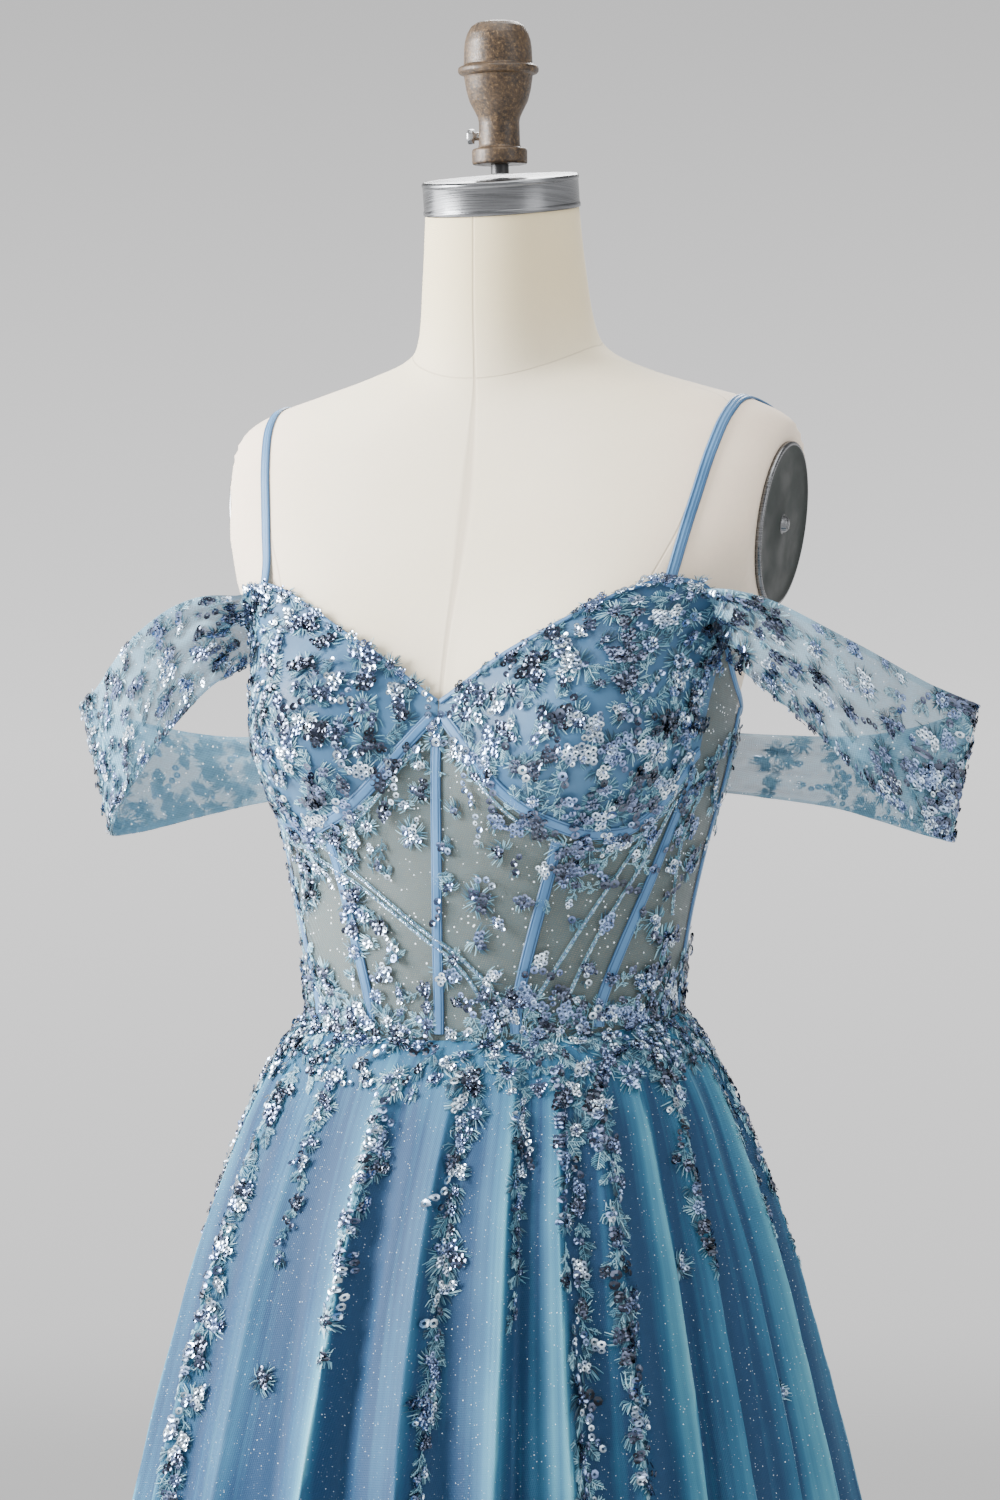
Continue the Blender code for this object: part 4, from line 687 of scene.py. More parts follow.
def paintMaterial(name, colour, rough=0.5, metallic=0.0):
    # a plain lacquer, a little uneven
    made, n, shader = newMaterial(name, Metallic=metallic)
    drift = groupNode(n, "drift", Scale=30.0)
    n.into(shader, Base_Color=n.mix(drift.outputs["Value"], tuple(c * 0.8 for c in colour), colour),
           Roughness=n.spread(drift.outputs["Value"], 0.3, 0.7, rough * 0.85, rough * 1.15))
    return made


mats = {
    "linen": linenMaterial(),
    "steel": metalMaterial("brushedSteel", (0.215, 0.22, 0.23), 0.28),
    "screw": metalMaterial("screwSteel", (0.55, 0.56, 0.57), 0.28, stretch=(1, 1, 1), grain=90.0),
    "bronze": speckledMaterial(),
    "plate": metalMaterial("armPlateSteel", (0.030, 0.037, 0.035), 0.55, metallic=0.3, stretch=(1, 1, 1), grain=40.0),
    "black": paintMaterial("blackPaint", (0.02, 0.02, 0.022), 0.42, 0.2),
    "cup": satinMaterial("cupSatin", (0.055, 0.150, 0.27), (0.030, 0.09, 0.18)),
    "binding": satinMaterial("bindingSatin", (0.085, 0.215, 0.41), (0.055, 0.15, 0.30), 0.36, edged=True),
    "net": netMaterial("bodiceNet", (0.098, 0.145, 0.152), (0.026, 0.050, 0.058), 0.77, 300.0),
    "sleeveNet": netMaterial("sleeveNet", (0.19, 0.40, 0.53), (0.055, 0.16, 0.26), 0.70, 300.0, hem=True),
    "tulle": tulleMaterial(),
    "lining": satinMaterial("skirtLining", (0.10, 0.24, 0.40), (0.07, 0.18, 0.32), 0.5),
    "thread": threadMaterial(),
    "sequin": sequinMaterial(),
    "zip": paintMaterial("zipLacquer", (0.16, 0.30, 0.46), 0.35, 0.5),
}


def dress(obj, material, replaced=(), body="dress"):
    # gives a piece its material, the body it rides on and the nodes that it stands for
    obj.data.materials.clear()
    obj.data.materials.append(mats[material])
    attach(obj, body)
    if replaced:
        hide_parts(*replaced)
    return obj


print("materials ready")

# the dress form

form = {"columns": 144, "rows": 100}


def buildForm():
    # the form's rings from hip to neck, with the distance of each point from the cover's seams
    rings = np.linspace(0, len(formRings) - 1, form["rows"])[:, None]
    angles = np.linspace(0, 360, form["columns"], endpoint=False)[None, :]
    points = formAt(rings, angles)
    side = (angles + 180) % 360 - 180
    # the princess seam runs from the shoulder's middle over the bust to the hip
    princess = through([0, 5, 9, 13, 16, 21], [34, 25, 36, 44, 78, 80], rings)
    half = np.hypot(points[..., 0], points[..., 1])
    seam = np.stack([
        np.radians(folded(side)) * half + 0 * rings,
        np.radians(folded(side) - princess) * half * np.where(rings < 16, 1, 0) + np.where(rings < 16, 0, 1),
        (rings - 18.4 + 0.25 * np.cos(np.radians(side))) * 0.02,
    ], axis=-1)
    dress(gridOf("formBody", points, wrap=True, attributes={"seam": seam}), "linen", ["form_body"])
    # flat ends under the cap and at the hip
    for name, ring in (("formNeckEnd", points[-1]), ("formHipEnd", points[0])):
        middle = ring.mean(axis=0)
        grid = np.stack([ring, middle + (ring - middle) * 0.5, middle + (ring - middle) * 0.02])
        end = gridOf(name, grid, wrap=True, flip=name == "formHipEnd", attributes={"seam": np.ones(grid.shape)})
        dress(end, "linen", [])


buildForm()

neckTop = formRings[-1]
neckMiddle = np.array([0.0, (neckTop[5] - neckTop[4]) / 2, (neckTop[0] + neckTop[2]) / 2])
neckTilt = math.atan2(neckTop[2] - neckTop[0], neckTop[5] + neckTop[4])
rodLean = neckTilt / 4
# rod and screw: heights above the cap's top
cap = {"radius": 0.0527, "height": 0.0225, "deep": 1.006, "rod": 0.0088, "screw": 0.0278}
rodFoot = neckMiddle + np.array([0, -math.sin(neckTilt), math.cos(neckTilt)]) * cap["height"]


def buildFittings():
    # turned pieces on the neck's axis: cap, rod, finial, and the clamp screw across it
    wide, high = cap["radius"], cap["height"]
    profile = roundedProfile([
        (0.001, 0.0003), (wide, 0.0003), (wide, 0.0030), (wide - 0.0005, 0.0036), (wide - 0.0005, high - 0.0036),
        (wide, high - 0.0030), (wide, high - 0.0012), (wide - 0.0012, high), (0.001, high),
    ])
    made = latheOf("neckCap", profile, 96, neckMiddle, neckTilt, cap["deep"])
    dress(made, "steel", ["form_neck_cap"])
    profile = [(0.0005, 0.0026), (0.006, 0.0026), (0.006, 0.0085), (0.0005, 0.0085)]
    dress(latheOf("finialRod", profile, 32, rodFoot, rodLean), "black", ["form_finial_rod"])
    turns = np.array([
        [0.0005, 0.0000], [0.0178, 0.0000], [0.0185, 0.0012], [0.0185, 0.0092], [0.0177, 0.0104], [0.0146, 0.0110],
        [0.0138, 0.0130], [0.0136, 0.0280], [0.0142, 0.0312], [0.0160, 0.0350], [0.0196, 0.0420], [0.0216, 0.0495],
        [0.0227, 0.0565], [0.0230, 0.0590], [0.0258, 0.0600], [0.0269, 0.0613], [0.0271, 0.0630], [0.0266, 0.0646],
        [0.0250, 0.0655], [0.0231, 0.0664], [0.0229, 0.0690], [0.0226, 0.0773], [0.0219, 0.0823], [0.0204, 0.0871],
        [0.0178, 0.0916], [0.0138, 0.0943], [0.0080, 0.0953], [0.0005, 0.0955],
    ])
    turns[:, 1] += cap["rod"]
    made = latheOf("finial", roundedProfile(turns, 0.0005), 72, rodFoot, rodLean)
    dress(made, "bronze", ["form_finial"])
    # the clamp screw, a hexagonal head on a shank at the wearer's right, and the hole beside it
    turn = math.radians(12)
    out = np.array([-math.cos(turn), -math.sin(turn), 0])
    across = np.array([math.sin(turn), -math.cos(turn), 0])
    ring = np.linspace(0, 2 * np.pi, 24, endpoint=False)
    hexagon = 1 / np.maximum.reduce([np.abs(np.cos(ring - k * np.pi / 3)) for k in range(3)])
    # its rings: distance out from the rod, radius, and whether it has the head's six corners
    profile = np.array([
        [0.0136, 0.0028, 0], [0.0172, 0.0028, 0], [0.0174, 0.0042, 1], [0.0186, 0.0044, 1], [0.0212, 0.0044, 1],
        [0.0220, 0.0038, 1], [0.0222, 0.0004, 1],
    ])
    spread = profile[:, 1:2] * np.where(profile[:, 2:] > 0, hexagon, 1.0)
    wide, high = (np.cos(ring) * spread)[..., None], (np.sin(ring) * spread)[..., None] + cap["screw"]
    grid = rodFoot + out * profile[:, :1, None] + across * wide + np.array([0, 0, 1]) * high
    dress(gridOf("finialScrew", grid, wrap=True), "screw", ["form_finial_screw"])
    hole = latheOf("finialHole", [(0.0004, 0), (0.0017, 0), (0.0017, 0.0003), (0.0004, 0.0003)], 20)
    co = np.empty(len(hole.data.vertices) * 3)
    hole.data.vertices.foreach_get("co", co)
    # its own x, y and z turned to run sideways, up and out of the finial's side
    turned = np.array([[0.777, 0.63, 0.0], [0.0, 0.0, 1.0], [0.63, -0.777, 0.0]])
    co = rodFoot + np.array([0.0085, -0.0105, 0.0290]) + co.reshape(-1, 3) @ turned
    hole.data.vertices.foreach_set("co", co.ravel())
    dress(hole, "black", [])


buildFittings()


def buildArmPlates():
    # a dished plate with a thin pale rim and a rivet, on each arm's flat
    lean = math.atan(armFlat["lean"])
    # distance out from the arm, share of the plate's size
    profile = np.array([
        [0.0003, 0.02], [0.0003, 1.0], [0.0029, 1.0], [0.0037, 0.985], [0.0039, 0.955], [0.0029, 0.93],
        [0.0025, 0.80], [0.0027, 0.12], [0.0033, 0.095], [0.0055, 0.088], [0.0065, 0.06], [0.0067, 0.01],
    ])
    ring = np.linspace(0, 2 * np.pi, 96, endpoint=False)
    out, share = profile[:, :1], profile[:, 1:]
    y, z = armFlat["deep"] * share * np.cos(ring), armFlat["tall"] * share * np.sin(ring)
    x = math.cos(lean) * out + math.sin(lean) * z
    up = math.cos(lean) * z - math.sin(lean) * out
    grid = np.stack([armFlat["x"] + x, armFlat["y"] + y, armFlat["z"] + up], axis=-1)
    for side, hand in hands:
        made = gridOf(f"armPlate{hand.title()}", grid * (side, 1, 1), wrap=True, flip=side < 0)
        dress(made, "plate", [f"form_arm_plate_{hand}"])
        # the rim, the second ring of faces to the fourth, and the rivet, from the eighth on, are bare steel
        made.data.materials.append(mats["steel"])
        index = np.zeros(len(made.data.polygons), np.int32)
        index[len(ring):len(ring) * 4] = 1
        index[len(ring) * 7:] = 1
        made.data.polygons.foreach_set("material_index", index)


buildArmPlates()
# the nodes that stay as they are in the solids
for node, material in {"stand_base": "black", "stand_pole": "black", "zip_slider": "zip", "zip_pull": "zip"}.items():
    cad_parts[node].data.materials.clear()
    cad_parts[node].data.materials.append(mats[material])
print("form built")

# the bodice

bodice = {"cupColumns": 84, "cupRows": 64, "netColumns": 120, "netRows": 40, "netUnder": -0.0004, "gap": 0.06}


def panelGrid(angles, low, high, rows, lift=0.0):
    # points on the bodice in even steps from the low edge to the high one
    share = np.linspace(0, 1, rows)[:, None]
    return bodiceAt(angles[None, :] + 0 * share, low + (high - low) * share, lift)


def buildBodice():
    # cups and net panels: angle by share of the way between two edges
    angles = np.linspace(bodice["gap"], sideOfCup - bodice["gap"], bodice["cupColumns"])
    low, high = edgeZ(cupFoot, angles) + 0.0003, edgeZ(topEdge, angles)
    for side, hand in hands:
        made = gridOf(f"cup{hand.title()}", panelGrid(side * angles, low, high, bodice["cupRows"]), flip=side < 0)
        dress(made, "cup", [f"cup_{hand}"])
    angles = np.linspace(-sideOfCup, sideOfCup, bodice["netColumns"])
    grid = panelGrid(angles, waistAt(angles), edgeZ(cupFoot, angles), bodice["netRows"], bodice["netUnder"])
    made = gridOf("bodiceFront", grid)
    nodes = [f"bodice_{name}_{hand}" for name in ("front", "side_front") for hand in ("left", "right")]
    dress(made, "net", nodes)
    angles = np.linspace(sideOfCup, 360 - sideOfCup, bodice["netColumns"])
    grid = panelGrid(angles, waistAt(angles), edgeZ(topEdge, angles), bodice["netRows"], bodice["netUnder"])
    made = gridOf("bodiceBack", grid)
    nodes = [f"bodice_{name}_{hand}" for name in ("side", "side_back", "back") for hand in ("left", "right")]
    dress(made, "net", nodes)


buildBodice()


onBodice = (0.5, 0.002)  # steps in degrees and metres for measuring the bodice


def ribbonOn(surface, a, b, width, height, lift=0.0003, points=9, ridges=0.0):
    # a raised ribbon along a path on a surface: sideways in the surface by the path's own metric
    a, b = np.asarray(a, float), np.asarray(b, float)
    perA, perB = spanOf(surface, a, b, onBodice)
    along, up = np.gradient(a) * perA, np.gradient(b) * perB
    length = np.maximum(np.hypot(along, up), 1e-9)
    across = np.linspace(-1, 1, points)[None, :]
    offset = across * width / 2
    ga = a[:, None] - offset * (up / length / perA)[:, None]
    gb = b[:, None] + offset * (along / length / perB)[:, None]
    dome = np.sqrt(np.clip(1 - np.abs(across) ** 5, 0, 1)) - ridges * np.exp(-(((np.abs(across) - 0.62) / 0.10) ** 2))
    return surface(ga, gb, lift + height * dome + 0 * ga)


def bind(name, grid, replaced=(), flip=False):
    # a satin ribbon as a piece of its own: "across" is 0 along its middle and 1 at its edges
    across = np.broadcast_to(np.abs(np.linspace(-1, 1, grid.shape[1])), grid.shape[:2])
    made = gridOf(name, grid, flip=flip, attributes={"across": across})
    return dress(made, "binding", replaced)


def seamAngle(name, z):
    # where a seam runs at this height
    return through([waistZ, 1.18, 1.36], seams[name], z)


# width and height of each ribbon, points across, and how deep its two stitched lines sink
ribbons = {
    "casing": {"width": 0.0080, "height": 0.0013, "points": 17, "ridges": 0.35},
    "wire": {"width": 0.0088, "height": 0.0016, "points": 17, "ridges": 0.3},
    "cupEdge": {"width": 0.0040, "height": 0.0012, "points": 11},
    "backEdge": {"width": 0.0045, "height": 0.0012, "points": 11},
    "tape": {"width": 0.0085, "height": 0.0006, "lift": 0.0002},
    "fold": {"width": 0.0050, "height": 0.0012, "lift": 0.0002},
    "seam": {"width": 0.0042, "height": 0.0007},
}
edgeUnder, wireOver = 0.0012, 0.0045  # an edge's ribbon below the top, a wire above the cup's foot


def buildCasings():
    # ribbons over the bones, the cups' wires and the edges, each along its seam's angle
    rise = np.linspace(0, 1, 60)
    for name in ("centre", "princess", "sideFront", "side"):
        node = "bone_casing_" + ("side_front" if name == "sideFront" else name)
        edge = topEdge if name == "side" else cupFoot
        top = 1.226 if name == "sideFront" else edgeZ(edge, seams[name][2]) - 0.004
        low = waistAt(seams[name][0]) + 0.004
        z = low + (top - low) * rise
        for side, hand in hands[:1] if name == "centre" else hands:
            grid = ribbonOn(bodiceAt, side * seamAngle(name, z), z, **ribbons["casing"])
            replaced = node if name == "centre" else f"{node}_{hand}"
            bind(f"casing{name.title()}{hand.title()}", grid, [replaced])
    for side, hand in hands:
        angle = np.linspace(0.8, sideOfCup - 1, 110)
        grid = ribbonOn(bodiceAt, side * angle, edgeZ(cupFoot, angle) + wireOver, **ribbons["wire"])
        bind(f"wireCasing{hand.title()}", grid, [f"wire_casing_{hand}"], flip=side > 0)
        # the cup's turned and stitched top edge
        edge = np.linspace(0.3, sideOfCup, 110)
        grid = ribbonOn(bodiceAt, side * edge, edgeZ(topEdge, edge) - edgeUnder, **ribbons["cupEdge"])
        bind(f"cupEdge{hand.title()}", grid, flip=side > 0)
    edge = np.linspace(sideOfCup, 360 - sideOfCup, 220)
    grid = ribbonOn(bodiceAt, edge, edgeZ(topEdge, edge) - edgeUnder, **ribbons["backEdge"])
    bind("backEdge", grid, flip=True)


buildCasings()

# the strap's way over the form, front to back: ring, angle
strapWay = np.array([
    [10.75, 43.5], [12.2, 45.5], [13.3, 49.0], [14.3, 57.0], [15.0, 73.0], [15.2, 90.0], [14.9, 104.0], [13.9, 118.0],
    [12.5, 128.0], [11.0, 133.0], [8.62, 138.0],
])
strap = {"steps": 160, "halfWidth": 0.0039, "thick": 0.0011, "rib": 0.0002, "off": 0.0006}


def straightWay(ring, angle):
    # in front the strap hangs in one upright plane: the angle whose x is a straight run of z
    tries = np.linspace(30, 95, 1301)
    ends = formAt(np.array([10.75, 14.9]), np.array([43.5, 70.0]))
    grid = formAt(ring[:, None], tries[None, :])
    run = np.clip((grid[..., 2] - ends[0, 2]) / (ends[1, 2] - ends[0, 2]), 0, 1)
    found = tries[np.argmin(np.abs(grid[..., 0] - ends[0, 0] - (ends[1, 0] - ends[0, 0]) * run), axis=1)]
    return np.where(ring < 14.9, found, angle)


def buildStraps():
    # narrow ribbed straps lying on the form, raised over the bodice at both ends:
    # height = thick * sqrt(1 - |across|^5) + rib * cos(9.4 across)
    count = strap["steps"]
    at = np.linspace(0, len(strapWay) - 1, count)
    ring = through(np.arange(len(strapWay)), strapWay[:, 0], at)
    angle = through(np.arange(len(strapWay)), strapWay[:, 1], at)
    peak = np.argmax(ring)
    angle[:peak] = straightWay(ring[:peak], angle[:peak])
    middle = formAt(ring, angle)
    normal = -normalsOf(formAt, ring, angle, 0.05, 1.0)
    ends = np.exp(-((np.arange(count) / 5.0) ** 2)) + np.exp(-(((count - 1 - np.arange(count)) / 5.0) ** 2))
    heading = np.gradient(middle, axis=0)
    sideways = np.cross(normal, heading)
    sideways /= np.linalg.norm(sideways, axis=-1, keepdims=True)
    across = np.linspace(-1, 1, 15)
    height = strap["thick"] * np.sqrt(np.clip(1 - np.abs(across) ** 5, 0, 1)) + strap["rib"] * np.cos(across * 9.4)
    out = strap["off"] + height[:, None] + outerLift * ends[:, None, None]
    grid = middle[:, None] + sideways[:, None] * across[:, None] * strap["halfWidth"] + normal[:, None] * out
    for side, hand in hands:
        made = bind(f"strap{hand.title()}", grid * (side, 1, 1), [f"strap_{hand}"], flip=side > 0)


buildStraps()

zipSizes = {"foot": waistZ + 0.004, "top": 1.249, "pitch": 0.0017, "reach": 0.0024, "tall": 0.00075,
            "lift": 0.0011, "thick": 0.0010}


def buildZip():
    # teeth: blocks on alternate sides of the centre back, each reaching a little past the middle
    z = np.arange(zipSizes["foot"], zipSizes["top"], zipSizes["pitch"] / 2)
    side = np.where(np.arange(len(z)) % 2, 1.0, -1.0)
    # the eight corners of each: sideways, up and out
    u, v = np.tile([[-1.0, 1.0, 1.0, -1.0], [-1.0, -1.0, 1.0, 1.0]], 2)
    w = np.repeat([0.0, 1.0], 4)
    x = side[:, None] * (0.18 + 0.48 * u) * zipSizes["reach"]
    height = z[:, None] + v * side[:, None] * zipSizes["tall"] / 2 * (0.75 + 0.25 * (u < 0))
    points = bodiceAt(180.0 - np.degrees(x / 0.10), height, zipSizes["lift"] + w * zipSizes["thick"])
    box = np.array([[0, 3, 2, 1], [4, 5, 6, 7], [0, 1, 5, 4], [1, 2, 6, 5], [2, 3, 7, 6], [3, 0, 4, 7]])
    quads = (np.arange(len(z))[:, None, None] * 8 + box[None]).reshape(-1, 4)
    dress(meshOf("zipTeeth", points, quads, smooth=False), "zip", ["zip_teeth"])
    run = np.linspace(zipSizes["foot"], edgeZ(topEdge, 180.0) - 0.001, 70)
    for side, hand in hands:
        # the tape beside the teeth, and the facing's stitched fold that half covers it
        for name, aside in (("tape", 3.4), ("fold", 7.6)):
            grid = ribbonOn(bodiceAt, np.full(len(run), 180.0 - side * aside), run, **ribbons[name])
            bind(f"zip{name.title()}{hand.title()}", grid)
        # the felled side back seam
        z = np.linspace(waistAt(138.0) + 0.002, 1.254, 60)
        grid = ribbonOn(bodiceAt, side * seamAngle("sideBack", z), z, **ribbons["seam"])
        bind(f"sideBackSeam{hand.title()}", grid)


buildZip()
print("bodice built")

# the skirt

skirt = {"columns": 820, "rows": 64, "liningColumns": 220, "liningRows": 40, "streaks": 24.0, "streakRun": 0.9}
lining = {"start": 0.0012, "short": 0.006, "inset": 0.0045, "clear": 1.3, "seamInset": 0.0021}


def buildSkirt():
    # tulle in folds, its rows closer near the waist: drop = length * share^1.35, and the smooth lining inside
    angles = np.linspace(0, 360, skirt["columns"], endpoint=False)[None, :]
    drops = ((np.linspace(0, 1, skirt["rows"]) ** 1.35) * (waistZ - hemZ))[:, None]
    # the fold attribute carries painted light and shade: pale beside each crest, dark in each valley, an even 0.4
    # near the waist
    paintedFoldLight = foldWave(angles, drops)[2]
    fold = 0.4 + (paintedFoldLight - 0.4) * np.clip(drops / 0.07, 0, 1)
    points = skirtAt(angles, drops)
    # for the streaks: round the cone by the angle, and slowly down it
    x, y = skirt["streaks"] * np.sin(np.radians(angles)), skirt["streaks"] * np.cos(np.radians(angles))
    turn = np.stack(np.broadcast_arrays(x, y, skirt["streakRun"] * drops), axis=-1)
    made = gridOf("skirtTulle", points, wrap=True, flip=True, attributes={"fold": fold, "turn": turn})
    gores = ["skirt_front"] + [f"skirt_{name}_{hand}" for name in ("side", "back") for hand in ("left", "right")]
    dress(made, "tulle", gores)
    angles = np.linspace(0, 360, skirt["liningColumns"], endpoint=False)[None, :]
    drops = np.linspace(0, 1, skirt["liningRows"])[:, None] * (waistZ - hemZ - lining["short"]) + lining["start"]
    inset = -(lining["inset"] + lining["clear"] * foldOpening(drops))
    inset[0] = -lining["seamInset"]
    made = gridOf("skirtLining", skirtAt(angles, drops, inset, 0.0), wrap=True, flip=True)
    dress(made, "lining", ["lining_front", "lining_back_left", "lining_back_right"])


buildSkirt()
print("skirt built")

# the sleeve drapes


def buildSleeves():
    # each drape a grid along its stations by foot to top
    s = np.linspace(0, 1, sleeve["steps"])[:, None]
    t = np.linspace(0, 1, sleeve["rows"])[None, :]
    hem = np.minimum(t, 1 - t) < 0.049  # the narrow turned hem of both long edges
    for hand in ("left", "right"):
        grid = sleeveAt(hand, s, t)
        made = gridOf(f"sleeve{hand.title()}", grid, flip=hand == "left", attributes={"hem": hem * np.ones_like(s)})
        dress(made, "sleeveNet", [f"sleeve_{hand}"])


buildSleeves()
print("sleeves built")

# embroidery: stitches and sequins in millimetres, sewn on a surface


def strokeRows(p0, q0, p1, q1, bow, width, tint):
    # columns: from, to, sideways bow, width, tint
    return np.stack(np.broadcast_arrays(p0, q0, p1, q1, bow, width, tint), axis=-1).reshape(-1, 7)


def rosette(radius, petals, tone):
    # fanned stitches: reach = radius * (0.68 + 0.32 cos share), longest in the middle of each petal
    share = np.linspace(-1, 1, 7)
    turn = (np.arange(petals)[:, None] + 0.40 * share) * 2 * np.pi / petals + 0.06 * rng.normal(size=(petals, 7))
    far = radius * (0.68 + 0.32 * np.cos(share * 1.4)) * rng.uniform(0.84, 1.14, turn.shape)
    near = radius * rng.uniform(0.18, 0.34, turn.shape)
    tint = tone + rng.uniform(-0.45, 0.40, turn.shape)
    return strokeRows(near * np.cos(turn), near * np.sin(turn), far * np.cos(turn + 0.10), far * np.sin(turn + 0.10),
                      rng.normal(0, 0.5, turn.shape), rng.uniform(0.8, 1.15, turn.shape), tint)


def leaf(length, width, tone):
    # slanting stitches each side of a rib: half width = width/2 * sin(pi t^0.8)
    t = np.linspace(0.04, 0.96, max(int(length / 1.25), 5))[None, :]
    side = np.array([[-1.0], [1.0]])
    out = 0.5 * width * np.sin(np.pi * t**0.8) * rng.uniform(0.82, 1.18, (2, t.size))
    tint = tone + rng.uniform(-0.42, 0.38, out.shape)
    blades = strokeRows(t * length, side * 0.15, t * length + 0.75 * out, side * out, side * 0.3, 0.9, tint)
    rib = strokeRows(np.array([0.0, 0.48]) * length, 0, np.array([0.52, 1.0]) * length, 0, 0.4, 0.75, tone + 0.35)
    return np.concatenate([blades, rib])


def brush(length, spread, count, tone):
    # ragged stitches fanned from a point
    turn = np.radians(np.linspace(-spread, spread, count) + rng.normal(0, 4, count))
    far = length * (0.72 + 0.28 * np.cos(turn * 1.5)) * rng.uniform(0.75, 1.12, count)
    near = length * rng.uniform(0.02, 0.30, count)
    return strokeRows(near * np.cos(turn), near * np.sin(turn), far * np.cos(turn), far * np.sin(turn),
                      2.0 * turn, rng.uniform(0.7, 1.0, count), tone + rng.uniform(-0.48, 0.42, count))


def sequinPetal(length, width, tint, radius=2.15):
    # overlapping sequins in rows, kept inside a drop: half width = width/2 * sin(pi t^0.7)
    step = radius * 1.6
    rows = np.arange(0, length, step * 0.86)
    p, q = np.meshgrid(rows, (np.arange(7) - 3) * step)
    q = q + (np.arange(len(rows)) % 2) * step / 2
    inside = np.abs(q) < 0.5 * width * np.sin(np.pi * np.clip(p / length + 0.06, 0, 1) ** 0.7) + 0.2
    p, q = p[inside], q[inside]
    tints = np.clip(tint + rng.normal(0, 0.10, p.size), 0, 1)
    p, q = p + rng.normal(0, 0.15, p.size), q + rng.normal(0, 0.15, p.size)
    return np.stack([p, q, radius * rng.uniform(0.92, 1.08, p.size), tints], axis=-1)


def sequinString(count, step, tint, radius=2.8):
    # larger single sequins along a bend
    p = np.arange(count) * step
    q = 0.35 * step * np.sin(p * 0.35 + rng.uniform(0, 6))
    sizes = radius * rng.uniform(0.85, 1.1, count)
    return np.stack([p, q, sizes, np.clip(tint + rng.normal(0, 0.12, count), 0, 1)], axis=-1)


def turned(rows, degrees, p=0.0, q=0.0, sequins=False):
    # turns and shifts a motif's rows
    c, s = math.cos(math.radians(degrees)), math.sin(math.radians(degrees))
    out = rows.copy()
    for k in (0,) if sequins else (0, 2):
        out[:, k] = rows[:, k] * c - rows[:, k + 1] * s + p
        out[:, k + 1] = rows[:, k] * s + rows[:, k + 1] * c + q
    return out


def sequinTone():
    # silver, lilac blue or gunmetal
    return rng.choice([0.95, 0.86, 0.62, 0.36, 0.15], p=[0.18, 0.12, 0.18, 0.26, 0.26])


def motifOf(kind):
    # (stitches, sequins) of one motif about its own middle
    tone = rng.uniform(0.28, 0.78)
    if kind == "rosette":
        radius = rng.uniform(9.5, 12.5)
        ring = np.arange(6) * np.pi / 3
        tint = rng.uniform(0.1, 0.95)
        middle = np.stack(np.broadcast_arrays(3.5 * np.cos(ring), 3.5 * np.sin(ring), 1.85, tint), axis=-1)
        return rosette(radius, rng.integers(5, 8), tone), np.concatenate([middle, [[0, 0, 1.9, sequinTone()]]])
    if kind == "petals":
        spread = np.cumsum(rng.uniform(48, 100, rng.integers(2, 5)))
        tint = sequinTone()
        lobes = [(rng.uniform(8, 13), rng.uniform(5.5, 8.5), np.clip(tint + rng.normal(0, 0.12), 0.1, 1))
                 for _ in spread]
        sequins = [turned(sequinPetal(*lobe, 2.1) + (1.8, 0, 0, 0), degrees, sequins=True)
                   for lobe, degrees in zip(lobes, spread)]
        stitches = [turned(brush(lobe[0] + 3.5, 34, 9, rng.uniform(0.35, 0.85)), degrees)
                    for lobe, degrees in zip(lobes, spread)]
        return np.concatenate([*stitches, turned(brush(10, 50, 10, tone), spread[0] - 90)]), np.concatenate(sequins)
    if kind == "leaf":
        stitches = turned(leaf(rng.uniform(12, 18), rng.uniform(6.5, 9), tone), 0, -7)
        stitches = np.concatenate([stitches, turned(leaf(rng.uniform(8, 11), 5.0, tone), rng.choice([-55, 55]), -6)])
        sequins = sequinString(rng.integers(0, 3), 4.8, sequinTone())
        return stitches, turned(sequins, rng.uniform(120, 240), -6, 0, True)
    if kind == "brush":
        stitches = turned(brush(rng.uniform(10, 14), 38, 13, tone), 0, -5)
        stitches = np.concatenate([stitches, turned(brush(6, 60, 7, tone + 0.2), 180, -5)])
        return stitches, sequinPetal(6.0, 4.0, sequinTone(), 2.0) - (5, 0, 0, 0)
    if kind == "sequins":
        stitches = turned(brush(9, 70, 11, tone), rng.uniform(0, 360))
        return stitches, turned(sequinPetal(rng.uniform(12, 17), rng.uniform(8, 12), sequinTone()), 0, -7, 0, True)
    if kind == "string":
        stitches = turned(brush(7, 40, 6, tone), 180, -6)
        return stitches, turned(sequinString(rng.integers(3, 6), 5.6, sequinTone()), 0, -7, 0, True)
    # sprig: a stem with small leaves each side and a cluster at its end
    foot = np.arange(-11, 9, 2.2)
    stem = strokeRows(foot, rng.normal(0, 0.2, foot.size), foot + 2.5, 0, 0.2, 0.9, tone + 0.2)
    blades = [turned(leaf(7.5, 3.6, tone), d, p) for d, p in ((42, -8), (-40, -5), (38, -1), (-36, 2))]
    return np.concatenate([stem, *blades]), turned(sequinPetal(9, 7, sequinTone(), 2.0), 0, 7, 0, True)


# thread's ridge, the most that one motif lies over another, sequin's rise and dish, and how far it tips
sewing = {"ridge": 0.0008, "layers": 0.0007, "rise": 0.0008, "dish": 0.22, "tip": 0.17}


